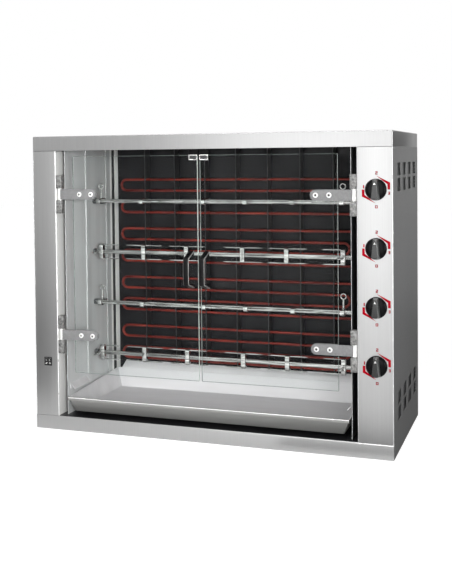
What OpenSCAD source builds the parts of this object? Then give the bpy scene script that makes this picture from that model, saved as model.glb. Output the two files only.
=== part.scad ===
// Electric skewer grill: a steel cabinet with a glazed cooking chamber, four driven spits in front of
// four tubular heating elements, two hinged glass doors and a drip tray that slides out under them.
// Frame: X to the right, Y to the back, Z up, origin on the floor at the middle of the cabinet.

/* [Cabinet] */
// Overall width of the cabinet
cab_w = 1100; // [1000:10:1300]
// Depth of the cabinet from the column faces to the rear panel
cab_d = 500; // [460:10:600]
// Overall height of the cabinet
cab_h = 900; // [880:10:1000]
// Thickness of every folded steel sheet
sheet = 1.5; // [1:0.1:2]
// Height of the top cap's skirt
cap_h = 44; // [36:1:50]
// Height of the band along the bottom of the front
base_h = 42; // [36:1:48]
// Depth of the ledge folded back from the base band
base_ledge = 24; // [18:1:40]
// Width of the left column's face
left_col_w = 78; // [70:1:90]
// Width of the control panel's face
right_col_w = 99; // [90:1:120]
// Depth of the return folded back from each column's inner edge
column_return = 56; // [40:1:80]
// Width of the gap between a column and the chamber wall
hinge_gap = 19; // [18:0.5:24]

/* [Chamber] */
// Distance from the column faces back to the chamber walls' front edges
wall_setback = 21; // [20:1:24]
// Width of the flange folded out along each chamber wall's front edge
wall_flange = 5; // [3:0.5:7]
// Height of the ceiling above the cap's lower edge
ceiling_rise = 6; // [3:1:20]
// Distance from the reflector's face to the back of the cabinet
rear_space = 102; // [80:1:120]
// Distance from the column faces to the front edge of the swage in the left wall
swage_start = 157; // [120:1:170]
// Width of that swage
swage_w = 30; // [20:1:40]
// Height of that swage above the wall
swage_h = 3; // [1:0.5:5]
// Depth of the corner post, measured forward from the reflector
post_d = 91; // [60:1:110]
// Width of the post's groove
post_groove = 24; // [16:1:28]
// Width of the post's rear pad
post_pad = 25; // [18:1:28]
// Height of the post's front pad above the wall
post_low_h = 3; // [2:0.5:4]
// Height of the post's rear pad above the wall
post_h = 4; // [4:0.5:12]

/* [Heating elements] */
// Diameter of the element tube
tube_d = 8; // [6.5:0.5:10]
// Distance between two neighbouring runs of an element
run_pitch = 36.5; // [30:0.5:38]
// Height of an element's middle above the spit in front of it
element_rise = 10; // [4:1:14]
// Distance from the reflector's face to the middle of the tubes
element_gap = 33; // [28:1:45]
// Distance from the left chamber wall to the hairpin bends
element_inset = 29; // [20:1:60]
// Distance from the right chamber wall to the middle bend
middle_bend_inset = 68; // [40:1:100]
// Thickness of the plates that hold the tubes
holder_t = 3; // [2:0.5:5]
// Number of those plates
holder_count = 7; // [3:1:8]
// Distance from the chamber walls to the outermost plates
holder_inset = 120; // [90:1:180]
// Play of a tube in its plate's hole
holder_play = 0.3; // [0.1:0.1:0.6]

/* [Spits] */
// Height of the lowest spit's axis
spit_low = 202; // [190:1:230]
// Height from one spit's axis to the next
spit_pitch = 164; // [156:1:168]
// Distance from the column faces back to the spits
spit_setback = 213; // [200:1:225]
// Side of the square spit rod
rod_w = 12; // [10:0.5:14]
// Diameter of the journal at the rod's right end
journal_d = 10; // [8:0.5:10]
// Width of a fork's hub along the rod
hub_w = 14; // [10:1:20]
// Length of a fork's hub across the rod
hub_l = 50; // [46:1:60]
// Thickness of a fork's hub
hub_t = 18; // [17:0.5:20]
// Diameter of a fork's prongs
prong_d = 4; // [3:0.5:5]
// Length of a prong from its hub
prong_l = 56; // [40:1:60]
// Distance of the prongs from the rod's axis
prong_r = 22; // [18:0.5:23]
// Distance from the left chamber wall to the first fork
first_fork = 32; // [30:1:60]
// Distance from the right chamber wall to the last fork
last_fork = 64; // [56:1:90]
// Distance of a thumb screw's ring from the rod's axis
ring_out = 47; // [40:1:50]
// Outer diameter of that ring
ring_d = 20; // [16:1:24]
// Diameter of the ring's wire
ring_wire = 4; // [3:0.5:5]
// Diameter of the thumb screw's shank
screw_d = 6; // [4:0.5:7]

/* [Spit drive] */
// Diameter of the drive claw
claw_d = 18; // [16:0.5:22]
// Length of the claw's jaws along the rod
jaw_l = 7; // [5:0.5:9]
// Thickness of the blade at the rod's left end
blade_t = 6; // [4:0.5:7]
// Diameter of the gearmotor's output shaft
output_d = 8; // [6:0.5:10]
// Side of the gearbox
gearbox_w = 62; // [50:1:72]
// Depth of the gearbox
gearbox_t = 24; // [18:1:28]
// Diameter of the motor can
motor_d = 50; // [40:1:58]
// Length of the motor can
motor_l = 26; // [20:1:30]

/* [Doors] */
// Height of the glass doors' lower edge
door_bottom = 178; // [170:1:190]
// Gap between the cap and the doors' upper edge
door_top_gap = 18; // [14:1:30]
// Thickness of the glass
glass_t = 6; // [5:0.5:8]
// Gap between the two panes
meet_gap = 7; // [4:0.5:12]
// Distance from a hinge axis to the edge of its pane
glass_inset = 44; // [36:1:50]
// Distance from the column faces back to the hinge axes
pivot_setback = 10.5; // [10:0.5:12]
// Diameter of the hinge pins
pin_d = 8; // [6:0.5:9]
// Diameter of a strap's barrel
barrel_d = 14; // [13:0.5:15]
// Length of a hinge strap from its axis to its round end
strap_l = 122; // [116:1:150]
// Height of a hinge strap
strap_h = 31; // [26:1:34]
// Thickness of a hinge strap and of its backing plate
strap_t = 3; // [2:0.5:4]
// Height of each fixed hinge block
block_h = 40; // [30:1:50]
// Gap between the two blocks of a hinge
block_gap = 36; // [35:1:40]
// Height of a strap's middle above the doors' lower edge, and below their upper edge
hinge_end = 115; // [90:1:130]
// Distance from a hinge axis to its strap's first bolt
bolt_first = 68; // [60:1:75]
// Distance between a strap's two bolts
bolt_pitch = 38; // [30:1:42]
// Diameter of the door bolts
bolt_d = 8; // [5:0.5:9]
// Diameter of the bolts' domed heads
bolt_head_d = 15; // [12:0.5:18]
// Height of the bolts' domed heads
bolt_head_h = 4; // [3:0.5:5]

/* [Handles and catches] */
// Distance from the middle of the front to each handle
handle_x = 24; // [20:1:40]
// Height of the handles' middle above the doors' lower edge
handle_up = 327; // [250:1:400]
// Length of a handle
handle_l = 110; // [90:2:150]
// Width of a handle
handle_w = 16; // [12:1:20]
// Distance that a handle stands out from the glass
handle_out = 49; // [34:1:50]
// Thickness of the strip that a handle is bent from
handle_t = 4; // [3:0.5:6]
// Distance by which a handle's upper leg slopes down towards its bar
handle_slope_top = 18; // [8:1:24]
// Distance by which a handle's lower leg slopes up towards its bar
handle_slope_low = 14; // [8:1:24]
// Height of the foot at each end of a handle
handle_foot = 16; // [14:1:20]
// Depth of those feet
handle_foot_d = 8; // [7:0.5:12]
// Width of a catch plate along the door
catch_w = 26; // [18:1:30]
// Height of a catch plate
catch_h = 16; // [12:1:24]
// Gap between a catch plate and its magnet
catch_gap = 0.6; // [0.4:0.1:1]

/* [Drip tray] */
// Gap between the tray's rim and each corner post
tray_side_gap = 1.5; // [1:0.5:4]
// Height of the rails under the tray
rail_h = 10; // [8:0.5:14]
// Width of those rails
rail_w = 20; // [14:1:30]
// Distance of those rails from the chamber walls
rail_inset = 60; // [40:1:120]
// Distance from the tray's front rim back to the rails' front ends
rail_setback = 130; // [60:5:160]
// Height of the tray's front wall
tray_front_h = 45; // [36:1:52]
// Height of the tray's back wall
tray_back_h = 64; // [55:1:75]
// Distance by which each wall leans out from floor to rim
tray_lean = 17; // [10:1:22]
// Thickness of the tray's sheet
tray_t = 1.5; // [1:0.1:2]
// Width of the lip folded down along the front rim
lip_h = 8; // [5:0.5:12]
// Distance from the column faces back to the tray's front rim
tray_setback = 10; // [8:1:20]
// Distance from the tray's rear edge to the reflector
tray_back_gap = 8; // [5:1:20]
// Depth of the slanted flange behind the back wall
tray_flange = 16; // [10:1:24]
// Rise of that slanted flange
tray_flange_rise = 24; // [15:1:30]
// Length of the folded tray guides
guide_l = 104; // [60:1:150]
// Width and height of a guide's slanted face
guide_w = 16; // [10:1:20]
// Height of the guides' lower edge above the tray's rear rim
guide_up = 1; // [1:0.5:10]
// Thickness of the guides' sheet
guide_t = 2; // [1.5:0.5:3]
// Distance of the guides behind the chamber walls' front edges
guide_setback = 17; // [12:1:40]

/* [Controls] */
// Diameter of the knobs
knob_d = 59; // [46:1:60]
// Height of the knobs above the panel
knob_h = 25; // [20:1:30]
// Height of a knob's skirt
skirt_h = 11; // [8:0.5:14]
// Height of the skirt's straight rim
knob_rim_h = 4.5; // [3:0.5:6]
// Distance by which the skirt draws in above its rim
knob_taper = 4; // [2:0.5:6]
// Depth of the spindle's hole in a knob
knob_bore_l = 15; // [12:0.5:18]
// Width of a knob's grip bar
grip_w = 21; // [14:0.5:24]
// Height of the lowest knob's axis
knob_low = 256; // [240:1:280]
// Height from one knob to the next
knob_pitch = 161; // [150:1:165]
// Distance of the knobs from the right side of the cabinet
knob_inset = 46; // [42:1:50]
// Gap between a knob and the panel
knob_gap = 0.8; // [0.5:0.1:2]
// Diameter of the selector spindle
spindle_d = 6; // [5:0.5:8]
// Side of a selector switch
selector_w = 44; // [36:1:50]
// Depth of a selector switch
selector_t = 36; // [28:1:45]
// Width of the rocker switch's bezel
rocker_bezel_w = 25; // [24:1:32]
// Height of the rocker switch's bezel
rocker_bezel_h = 26; // [24:1:32]
// Height of the rocker switch's middle
rocker_z = 209; // [180:1:260]
// Distance of the rocker switch's middle from the left side of the cabinet
rocker_inset = 43; // [36:1:50]
// Angle by which a rocker leans from its middle position
rocker_tilt = 10; // [6:1:12]

/* [Ventilation and supply] */
// Width of a vent window
vent_w = 60; // [40:1:70]
// Height of a vent window
vent_h = 36; // [24:1:40]
// Distance between neighbouring vent columns
vent_pitch_y = 104; // [90:1:110]
// Distance between neighbouring vent rows
vent_pitch_z = 44; // [42:1:60]
// Number of vent columns
vent_cols = 4; // [2:1:4]
// Distance of the first vent column from the column faces
vent_front = 75; // [60:1:90]
// Distance of the upper vents from the cap
vent_top = 45; // [30:1:60]
// Height of the lower vents
vent_low = 90; // [60:1:110]
// Gap between a side panel and its vent baffles
baffle_gap = 4; // [2:0.5:8]
// Bore of the supply cable's gland
gland_bore = 13; // [10:0.5:16]
// Wall of the gland's threaded tube
gland_wall = 3.5; // [2.5:0.5:5]
// Outer diameter of the gland's nut
gland_d = 30; // [26:1:36]
// Height of the gland
gland_z = 120; // [90:1:160]
// Distance of the gland from the right side of the cabinet
gland_inset = 60; // [40:1:80]
// Diameter of the rear panel screws' heads
screw_head_d = 9; // [7:0.5:12]

/* [Fits] */
// Radial clearance of anything that turns in a bore
running = 0.08; // [0.03:0.01:0.1]
// Clearance between a fixed pin or bolt and its hole
snug = 0.05; // [0.03:0.01:0.15]
// Clearance between a moving piece and what it passes
moving = 0.3; // [0.3:0.05:0.6]

/* [Hidden] */
$fn = 48;
// Distance by which a cutting solid passes the faces that it cuts
over = 1;
spit_count = 4;
spits = [1 : spit_count];
sides = ["left", "right"];

front = -cab_d / 2;
back = cab_d / 2;
left = -cab_w / 2;
right = cab_w / 2;
plate_back = front + sheet;
cap_z = cab_h - cap_h;

// Chamber: the faces of its walls, floor, ceiling and reflector
gap_left = left + left_col_w;
gap_right = right - right_col_w;
wall_left = gap_left + hinge_gap;
wall_right = gap_right - hinge_gap;
room_left = wall_left + sheet;
room_right = wall_right - sheet;
room_w = room_right - room_left;
wall_front = front + wall_setback;
reflector_y = back - rear_space;
floor_z = base_h + sheet;
ceiling_z = cap_z + ceiling_rise;
room_h = ceiling_z - floor_z;

// Spits and elements
spit_y = front + spit_setback;
function spit_z(i) = spit_low + (spit_count - i) * spit_pitch;
fork_from = room_left + first_fork;
fork_to = room_right - last_fork;
// Places of the middle forks, as shares of the way between the end forks
fork_shares_face = [0.187, 0.372, 0.605, 0.782];
fork_shares_edge = [0.187, 0.45, 0.622, 0.81];
function fork_shares(i) = i % 2 == 0 ? fork_shares_face : fork_shares_edge;
function fork_x(i, k) = fork_from + (fork_to - fork_from) * fork_shares(i)[k];
element_y = reflector_y - element_gap;
function element_z(i) = spit_z(i) + element_rise;
run_offsets = [1.5, 0.5, -0.5, -1.5] * run_pitch;
bend_r = run_pitch / 2;
element_left = room_left + element_inset + bend_r + tube_d / 2;
element_right = room_right - middle_bend_inset - bend_r - tube_d / 2;
terminal_l = 34;
bushing_d = tube_d + 8;
bushing_l = 14;
holder_depth = element_gap + tube_d;
holder_step = (room_w - 2 * holder_inset - holder_t) / (holder_count - 1);

// Drive: the claw sits just inside the left wall, its jaws hold the rod's blade
claw_back = room_left + 1.5;
claw_hub_l = 5;
claw_play = 0.2;
shaft_gap = 1;
jaw_from = claw_back + claw_hub_l;
jaw_to = jaw_from + jaw_l;
rod_from = jaw_to + 1;
journal_l = 34;
rod_to = room_right - journal_l + 2;
journal_to = room_right - 1;
bearing_t = 14;
bearing_wall = 7;
bearing_drop = 16;

// Doors, each built from its own hinge axis outwards
pivot_left = gap_left + hinge_gap / 2;
pivot_right = gap_right - hinge_gap / 2;
pivot_y = front + pivot_setback;
middle_x = (pivot_left + pivot_right) / 2;
door_top = cap_z - door_top_gap;
glass_end = middle_x - pivot_left - meet_gap / 2;
strap_front = -barrel_d / 2;
glass_front = strap_front + strap_t;
glass_back = glass_front + glass_t;
pin_inset = 2;
strap_inset = 4;
hinge_zs = [door_bottom + hinge_end, door_top - hinge_end];
bolt_xs = [bolt_first, bolt_first + bolt_pitch];
handle_place = middle_x - pivot_left - handle_x;
handle_z = door_bottom + handle_up;
handle_screw_d = 5;
handle_screw_grip = 5;
handle_screw_zs = [handle_z - handle_l / 2 + handle_foot / 2, handle_z + handle_l / 2 - handle_foot / 2];
nut_h = 4;
clip_t = 1.5;
catch_place = glass_end - catch_w;

// Tray: rim, floor and slanted rear flange
tray_left = room_left + post_h + tray_side_gap;
tray_right = room_right - post_h - tray_side_gap;
tray_front = front + tray_setback;
tray_back = reflector_y - tray_back_gap;
tray_wall_back = tray_back - tray_flange;
tray_z = floor_z + rail_h + moving;
tray_rim_z = tray_z + tray_front_h;
tray_back_z = tray_z + tray_back_h;
tray_top = tray_back_z + tray_flange_rise;
guide_z = tray_back_z + guide_up + guide_t;
holder_z = tray_top + 4;

// Controls and supply
knob_x = right - knob_inset;
function knob_z(i) = knob_low + (spit_count - i) * knob_pitch;
rocker_x = left + rocker_inset;
rocker_gap = 1.6;
bezel_rim = 2;
bezel_t = 2;
bezel_lap = 1;
rocker_w = (rocker_bezel_w - 2 * bezel_rim - rocker_gap) / 2 - 2 * moving;
rocker_h = rocker_bezel_h - 2 * bezel_rim - 6 * moving;
rocker_step = (rocker_bezel_w - 2 * bezel_rim + rocker_gap) / 4;
trunnion_d = 2;
panel_hole_d = spindle_d + 4;
selector_face = plate_back;
gland_x = right - gland_inset;
gland_thread = gland_bore + 2 * gland_wall;
vent_rows = [vent_low, vent_low + vent_pitch_z, cap_z - vent_top - vent_h - vent_pitch_z,
             cap_z - vent_top - vent_h];

steel = [0.74, 0.74, 0.73];
dark_steel = [0.35, 0.35, 0.36];
enamel = [0.1, 0.1, 0.1];
glow = [0.55, 0.14, 0.1];
black = [0.06, 0.06, 0.06];
white = [0.92, 0.9, 0.86];

// ---------------------------------------------------------------- shared shapes

// A box between two opposite corners
module block(from, to) {
    translate(from)
        cube(to - from);
}

// A cylinder along X from the given point
module rod_x(at, length, d) {
    translate(at)
        rotate([0, 90, 0])
            cylinder(h = length, d = d);
}

// A cylinder along Y, towards the back, from the given point
module rod_y(at, length, d) {
    translate(at)
        rotate([-90, 0, 0])
            cylinder(h = length, d = d);
}

// A ring of round wire about the Y axis
module ring_y(outer_d, wire_d) {
    rotate([90, 0, 0])
        rotate_extrude()
            translate([(outer_d - wire_d) / 2, 0])
                circle(d = wire_d);
}

// An outline in the Y-Z plane, drawn as [y, z], pushed along X by a width about the middle
module slab_x(width, outline) {
    rotate([90, 0, 90])
        linear_extrude(width, center = true)
            polygon(outline);
}

// ---------------------------------------------------------------- cabinet

// The lid: a flat top with a skirt folded down on all four sides
module top_cap() {
    color(steel)
        difference() {
            block([left, front, cap_z], [right, back, cab_h]);
            block([left + sheet, plate_back, cap_z - over], [right - sheet, back - sheet, cab_h - sheet]);
        }
}

// The bottom pan: a plate, a front band with a ledge, and low flanges at the sides and back
module base_pan() {
    flange_h = 30;
    color(steel)
        union() {
            block([left + sheet, front, 0], [right - sheet, back - sheet, sheet]);
            block([left, front, 0], [right, plate_back, base_h]);
            block([left + sheet, front, base_h - sheet], [right - sheet, front + base_ledge, base_h]);
            for (x = [left + sheet, right - 2 * sheet])
                block([x, front, 0], [x + sheet, back - sheet, flange_h]);
            block([left + sheet, back - 2 * sheet, 0], [right - sheet, back - sheet, flange_h]);
        }
}

// A column of folded sheet: a face and a return along its inner edge
module column(x_from, x_to, return_x) {
    difference() {
        union() {
            block([x_from, front, base_h], [x_to, plate_back, cap_z]);
            block([return_x, front, base_h], [return_x + sheet, front + column_return, cap_z]);
        }
        children();
    }
}

module left_column() {
    cut_w = rocker_bezel_w - 2 * bezel_lap;
    cut_h = rocker_bezel_h - 2 * bezel_lap;
    color(steel)
        column(left, gap_left, gap_left - sheet)
            block([rocker_x - cut_w / 2, front - over, rocker_z - cut_h / 2],
                  [rocker_x + cut_w / 2, plate_back + over, rocker_z + cut_h / 2]);
}

module control_panel() {
    color(steel)
        column(gap_right, right, gap_right)
            for (i = spits)
                rod_y([knob_x, front - over, knob_z(i)], sheet + 2 * over, panel_hole_d);
}

// A side sheet with an upper and a lower group of rectangular vent windows
module side_panel(x) {
    difference() {
        block([x, plate_back, 0], [x + sheet, back - sheet, cap_z]);
        for (z = vent_rows)
            for (c = [0 : vent_cols - 1])
                translate([x - over, front + vent_front + c * vent_pitch_y, z])
                    cube([sheet + 2 * over, vent_w, vent_h]);
    }
}

module left_side_panel() {
    color(steel)
        side_panel(left);
}

module right_side_panel() {
    color(dark_steel)
        side_panel(right - sheet);
}

// Dished plates behind the windows, held off the side panels by their rims
module vent_baffles() {
    margin = 10;
    y_from = front + vent_front - margin;
    y_to = front + vent_front + (vent_cols - 1) * vent_pitch_y + vent_w + margin;
    color(dark_steel)
        for (x = [left + sheet, right - sheet - baffle_gap - sheet])
            for (z = [vent_rows[0], vent_rows[2]])
                difference() {
                    block([x, y_from, z - margin],
                          [x + baffle_gap + sheet, y_to, z + vent_pitch_z + vent_h + margin]);
                    block([x < 0 ? x - over : x + sheet, y_from + sheet, z - margin + sheet],
                          [x < 0 ? x + baffle_gap : x + baffle_gap + sheet + over, y_to - sheet,
                           z + vent_pitch_z + vent_h + margin - sheet]);
                }
}

// The back sheet, with slots for warm air and a hole for the cable gland
module rear_panel() {
    slot_count = 9;
    slot_pitch = 14;
    slot_w = 120;
    slot_h = 5;
    slot_margin = 60;
    slot_low = cap_z - slot_margin - slot_count * slot_pitch;
    color(steel)
        difference() {
            block([left, back - sheet, 0], [right, back, cap_z]);
            for (x = [left + slot_margin, -slot_w / 2, right - slot_margin - slot_w])
                for (k = [0 : slot_count - 1])
                    translate([x, back - sheet - over, slot_low + k * slot_pitch])
                        cube([slot_w, sheet + 2 * over, slot_h]);
            rod_y([gland_x, back - sheet - over, gland_z], sheet + 2 * over, gland_thread + 2 * snug);
        }
}

module panel_screws() {
    edge = 22;
    head_h = 2;
    crown_h = 1;
    color(dark_steel)
        for (x = [left + edge, -edge, right - edge])
            for (z = [base_h + edge, cap_z - edge])
                union() {
                    rod_y([x, back, z], head_h, screw_head_d);
                    rod_y([x, back + head_h, z], crown_h, screw_head_d * 0.7);
                }
}

// ---------------------------------------------------------------- chamber

// A chamber wall with its front flange folded outwards and holes for what passes through it
module chamber_wall(x, flange_x) {
    difference() {
        union() {
            block([x, wall_front, floor_z], [x + sheet, reflector_y, ceiling_z]);
            block([flange_x, wall_front, floor_z], [flange_x + wall_flange, wall_front + sheet, ceiling_z]);
        }
        children();
    }
}

module left_inner_wall() {
    swage_y = front + swage_start;
    color(steel)
        chamber_wall(wall_left, wall_left - wall_flange + sheet)
            for (i = spits)
                rod_x([wall_left - over, spit_y, spit_z(i)], sheet + 2 * over,
                      output_d + 2 * shaft_gap);
    color(steel)
        block([room_left, swage_y, guide_z + guide_w], [room_left + swage_h, swage_y + swage_w, ceiling_z]);
}

module right_inner_wall() {
    color(steel)
        chamber_wall(room_right, room_right)
            for (i = spits)
                for (k = [0, 3])
                    rod_x([room_right - over, element_y, element_z(i) + run_offsets[k]], sheet + 2 * over,
                          bushing_d + 2 * snug);
}

// The chamber's roof reaches the side panels and carries the walls
module chamber_ceiling() {
    color(steel)
        block([left + sheet, plate_back, ceiling_z], [right - sheet, back - sheet, ceiling_z + sheet]);
}

module chamber_floor() {
    inset = 4;
    color(enamel)
        block([gap_left, front + inset, base_h], [gap_right, back - sheet, floor_z]);
}

module rear_reflector() {
    color(enamel)
        block([wall_left, reflector_y, floor_z], [wall_right, reflector_y + sheet, ceiling_z]);
}

// Corner posts: a front pad, a groove and a higher rear pad, folded from one strip
module post_outline() {
    front_pad = post_d - post_groove - post_pad;
    polygon([[0, 0], [post_low_h, 0], [post_low_h, front_pad], [sheet, front_pad],
             [sheet, front_pad + post_groove], [post_h, front_pad + post_groove],
             [post_h, post_d], [0, post_d]]);
}

module corner_posts() {
    color(steel)
        for (side = [0, 1])
            difference() {
                translate([side == 0 ? room_left : room_right, reflector_y - post_d, floor_z])
                    mirror([side, 0, 0])
                        linear_extrude(room_h)
                            post_outline();
                if (side == 1)
                    for (i = spits)
                        for (k = [0, 3])
                            rod_x([room_right - 2 * post_h, element_y, element_z(i) + run_offsets[k]],
                                  3 * post_h, tube_d + 2 * holder_play);
            }
}

// ---------------------------------------------------------------- heating

// One run of an element along X
module run(x_from, x_to, z) {
    rod_x([x_from, element_y, z], x_to - x_from, tube_d);
}

// Half a turn of tube that joins two runs; it bulges towards the side given as -1 or 1
module bend(x, z, side) {
    translate([x, element_y, z])
        rotate([90, 0, 0])
            rotate_extrude(angle = 180, start = side < 0 ? 90 : -90)
                translate([bend_r, 0])
                    circle(d = tube_d);
}

// A tubular element bent into a W: two hairpins at the left, one at the right, ends to the right
module heating_element(i) {
    z = element_z(i);
    end_x = wall_right + terminal_l;
    color(glow)
        union() {
            run(element_left, end_x, z + run_offsets[0]);
            bend(element_left, z + run_pitch, -1);
            run(element_left, element_right, z + run_offsets[1]);
            bend(element_right, z, 1);
            run(element_left, element_right, z + run_offsets[2]);
            bend(element_left, z - run_pitch, -1);
            run(element_left, end_x, z + run_offsets[3]);
        }
}

// Plates on edge in front of the reflector; each run passes through its own hole
module element_holders() {
    first_x = room_left + holder_inset;
    color(steel)
        for (k = [0 : holder_count - 1])
            translate([first_x + k * holder_step, 0, 0])
                difference() {
                    block([0, reflector_y - holder_depth, holder_z], [holder_t, reflector_y, ceiling_z]);
                    for (i = spits)
                        for (dz = run_offsets)
                            rod_x([-over, element_y, element_z(i) + dz], holder_t + 2 * over,
                                  tube_d + 2 * holder_play);
                }
}

// Ceramic sleeves where the element ends leave the chamber
module element_bushings() {
    flange = 4;
    color(white)
        for (i = spits)
            for (k = [0, 3])
                translate([0, element_y, element_z(i) + run_offsets[k]])
                    difference() {
                        union() {
                            rod_x([room_right, 0, 0], bushing_l, bushing_d);
                            rod_x([wall_right, 0, 0], flange, bushing_d + 2 * flange);
                        }
                        rod_x([room_right - over, 0, 0], bushing_l + 2 * over, tube_d + 2 * snug);
                    }
}

// ---------------------------------------------------------------- spit drive and bearings

// The gearbox sits on the outside of the left wall, with its motor on its far side
module gearmotors() {
    color(dark_steel)
        for (i = spits)
            translate([wall_left, spit_y, spit_z(i)])
                difference() {
                    union() {
                        block([-gearbox_t, -gearbox_w / 2, -gearbox_w / 2],
                              [0, gearbox_w / 2, gearbox_w / 2]);
                        rod_x([-gearbox_t - motor_l, 0, 0], motor_l, motor_d);
                    }
                    rod_x([-gearbox_t / 2, 0, 0], gearbox_t, output_d + 2 * running);
                }
}

// The output shaft and its claw: a disc with two jaws that hold the rod's blade between them
module drive_claw(i) {
    shaft_from = wall_left - gearbox_t / 2 + shaft_gap;
    slot = blade_t + 2 * claw_play;
    color(dark_steel)
        translate([0, spit_y, spit_z(i)])
            difference() {
                union() {
                    rod_x([shaft_from, 0, 0], claw_back - shaft_from, output_d);
                    rod_x([claw_back, 0, 0], claw_hub_l + jaw_l, claw_d);
                }
                block([jaw_from, -claw_d, -slot / 2], [jaw_to + over, claw_d, slot / 2]);
            }
}

// The square rod, with a flat blade for the claw and a round journal for the bearing
module spit_rod(i) {
    color(steel)
        translate([0, spit_y, spit_z(i)])
            union() {
                block([rod_from, -rod_w / 2, -rod_w / 2], [rod_to, rod_w / 2, rod_w / 2]);
                block([jaw_from + claw_play, -rod_w / 2, -blade_t / 2], [rod_from, rod_w / 2, blade_t / 2]);
                rod_x([rod_to, 0, 0], journal_to - rod_to, journal_d);
            }
}

// Open cradles on the right wall; the journal lifts out of the slot
module spit_bearings() {
    bore = journal_d + 2 * running;
    rise = 9;
    half = bore / 2 + bearing_wall;
    color(steel)
        for (i = spits)
            translate([room_right - bearing_t, spit_y, spit_z(i)])
                difference() {
                    block([0, -half, -bearing_drop], [bearing_t, half, rise]);
                    rod_x([-over, 0, 0], bearing_t + 2 * over, bore);
                    block([-over, -bore / 2, 0], [bearing_t + over, bore / 2, rise + over]);
                }
}

// A fork: a hub that slides on the rod and two wire prongs, towards one side or both
module fork(x, to_left, to_right) {
    root = 2;
    from = to_left ? -hub_w / 2 - prong_l : -hub_w / 2 + root;
    to = to_right ? hub_w / 2 + prong_l : hub_w / 2 - root;
    hole = rod_w + 2 * snug;
    translate([x, 0, 0])
        difference() {
            union() {
                block([-hub_w / 2, -hub_l / 2, -hub_t / 2], [hub_w / 2, hub_l / 2, hub_t / 2]);
                for (side = [-1, 1])
                    rod_x([from, side * prong_r, 0], to - from, prong_d);
            }
            block([-hub_w / 2 - over, -hole / 2, -hole / 2], [hub_w / 2 + over, hole / 2, hole / 2]);
        }
}

// A thumb screw: its shank stands on the rod and ends in a ring
module thumb_screw(x) {
    shank_from = rod_w / 2 + snug;
    translate([x, 0, 0])
        union() {
            translate([0, 0, shank_from])
                cylinder(h = ring_out - ring_d / 2 + ring_wire / 2 - shank_from, d = screw_d);
            translate([0, 0, ring_out])
                ring_y(ring_d, ring_wire);
        }
}

// The forks of one spit and their screws; every second spit is stored a quarter turn on
module spit_forks(i) {
    end_hole = screw_d + 2 * snug;
    color(steel)
        translate([0, spit_y, spit_z(i)])
            rotate([i % 2 == 0 ? 90 : 0, 0, 0]) {
                for (x = [fork_from, fork_to])
                    difference() {
                        fork(x, x > fork_from, x < fork_to);
                        translate([x, 0, 0])
                            cylinder(h = hub_t, d = end_hole);
                    }
                for (k = [0 : len(fork_shares(i)) - 1])
                    fork(fork_x(i, k), true, true);
                for (x = [fork_from, fork_to])
                    thumb_screw(x);
            }
}

// ---------------------------------------------------------------- doors

// Places a left-hand door's piece on either side
module door_side(side) {
    translate([side == "left" ? pivot_left : pivot_right, pivot_y, 0])
        mirror([side == "left" ? 0 : 1, 0, 0])
            children();
}

// Fixed blocks in the gap above and below each barrel, and the pin through them
module hinge_blocks() {
    block_d = wall_setback;
    color(dark_steel)
        for (side = sides)
            door_side(side)
                for (z = hinge_zs)
                    for (way = [0, 1])
                        translate([0, 0, z])
                            mirror([0, 0, way])
                                difference() {
                                    block([-hinge_gap / 2, -pivot_setback, block_gap / 2],
                                          [hinge_gap / 2, block_d - pivot_setback,
                                           block_gap / 2 + block_h]);
                                    translate([0, 0, block_gap / 2 - over])
                                        cylinder(h = block_h, d = pin_d + 2 * snug);
                                }
}

module hinge_pins() {
    pin_l = block_gap + 2 * (block_h - pin_inset);
    color(steel)
        for (side = sides)
            door_side(side)
                for (z = hinge_zs)
                    translate([0, 0, z - pin_l / 2])
                        cylinder(h = pin_l, d = pin_d);
}

module door_glass(side) {
    color([0.75, 0.85, 0.82, 0.35])
        door_side(side)
            difference() {
                block([glass_inset, glass_front, door_bottom], [glass_end, glass_back, door_top]);
                for (z = hinge_zs)
                    for (x = bolt_xs)
                        rod_y([x, glass_front - over, z], glass_t + 2 * over, bolt_d + 2 * snug);
                for (z = handle_screw_zs)
                    rod_y([handle_place, glass_front - over, z], glass_t + 2 * over,
                          handle_screw_d + 2 * snug);
            }
}

// A plate with one round end, pierced for the bolts
module strap_plate(x_from, y_from, z) {
    translate([0, y_from + strap_t, z])
        rotate([90, 0, 0])
            linear_extrude(strap_t)
                difference() {
                    union() {
                        translate([x_from, -strap_h / 2])
                            square([strap_l - strap_h / 2 - x_from, strap_h]);
                        translate([strap_l - strap_h / 2, 0])
                            circle(d = strap_h);
                    }
                    for (x = bolt_xs)
                        translate([x, 0])
                            circle(d = bolt_d + 2 * snug);
                }
}

// Each strap turns on its pin in front of the glass, with a backing plate behind the glass
module door_hinge_straps(side) {
    knuckle_h = block_gap - 2;
    color(steel)
        door_side(side)
            for (z = hinge_zs) {
                difference() {
                    union() {
                        strap_plate(0, strap_front, z);
                        translate([0, 0, z - knuckle_h / 2])
                            cylinder(h = knuckle_h, d = barrel_d);
                    }
                    translate([0, 0, z - knuckle_h])
                        cylinder(h = 2 * knuckle_h, d = pin_d + 2 * running);
                }
                strap_plate(glass_inset + strap_inset, glass_back, z);
            }
}

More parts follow.
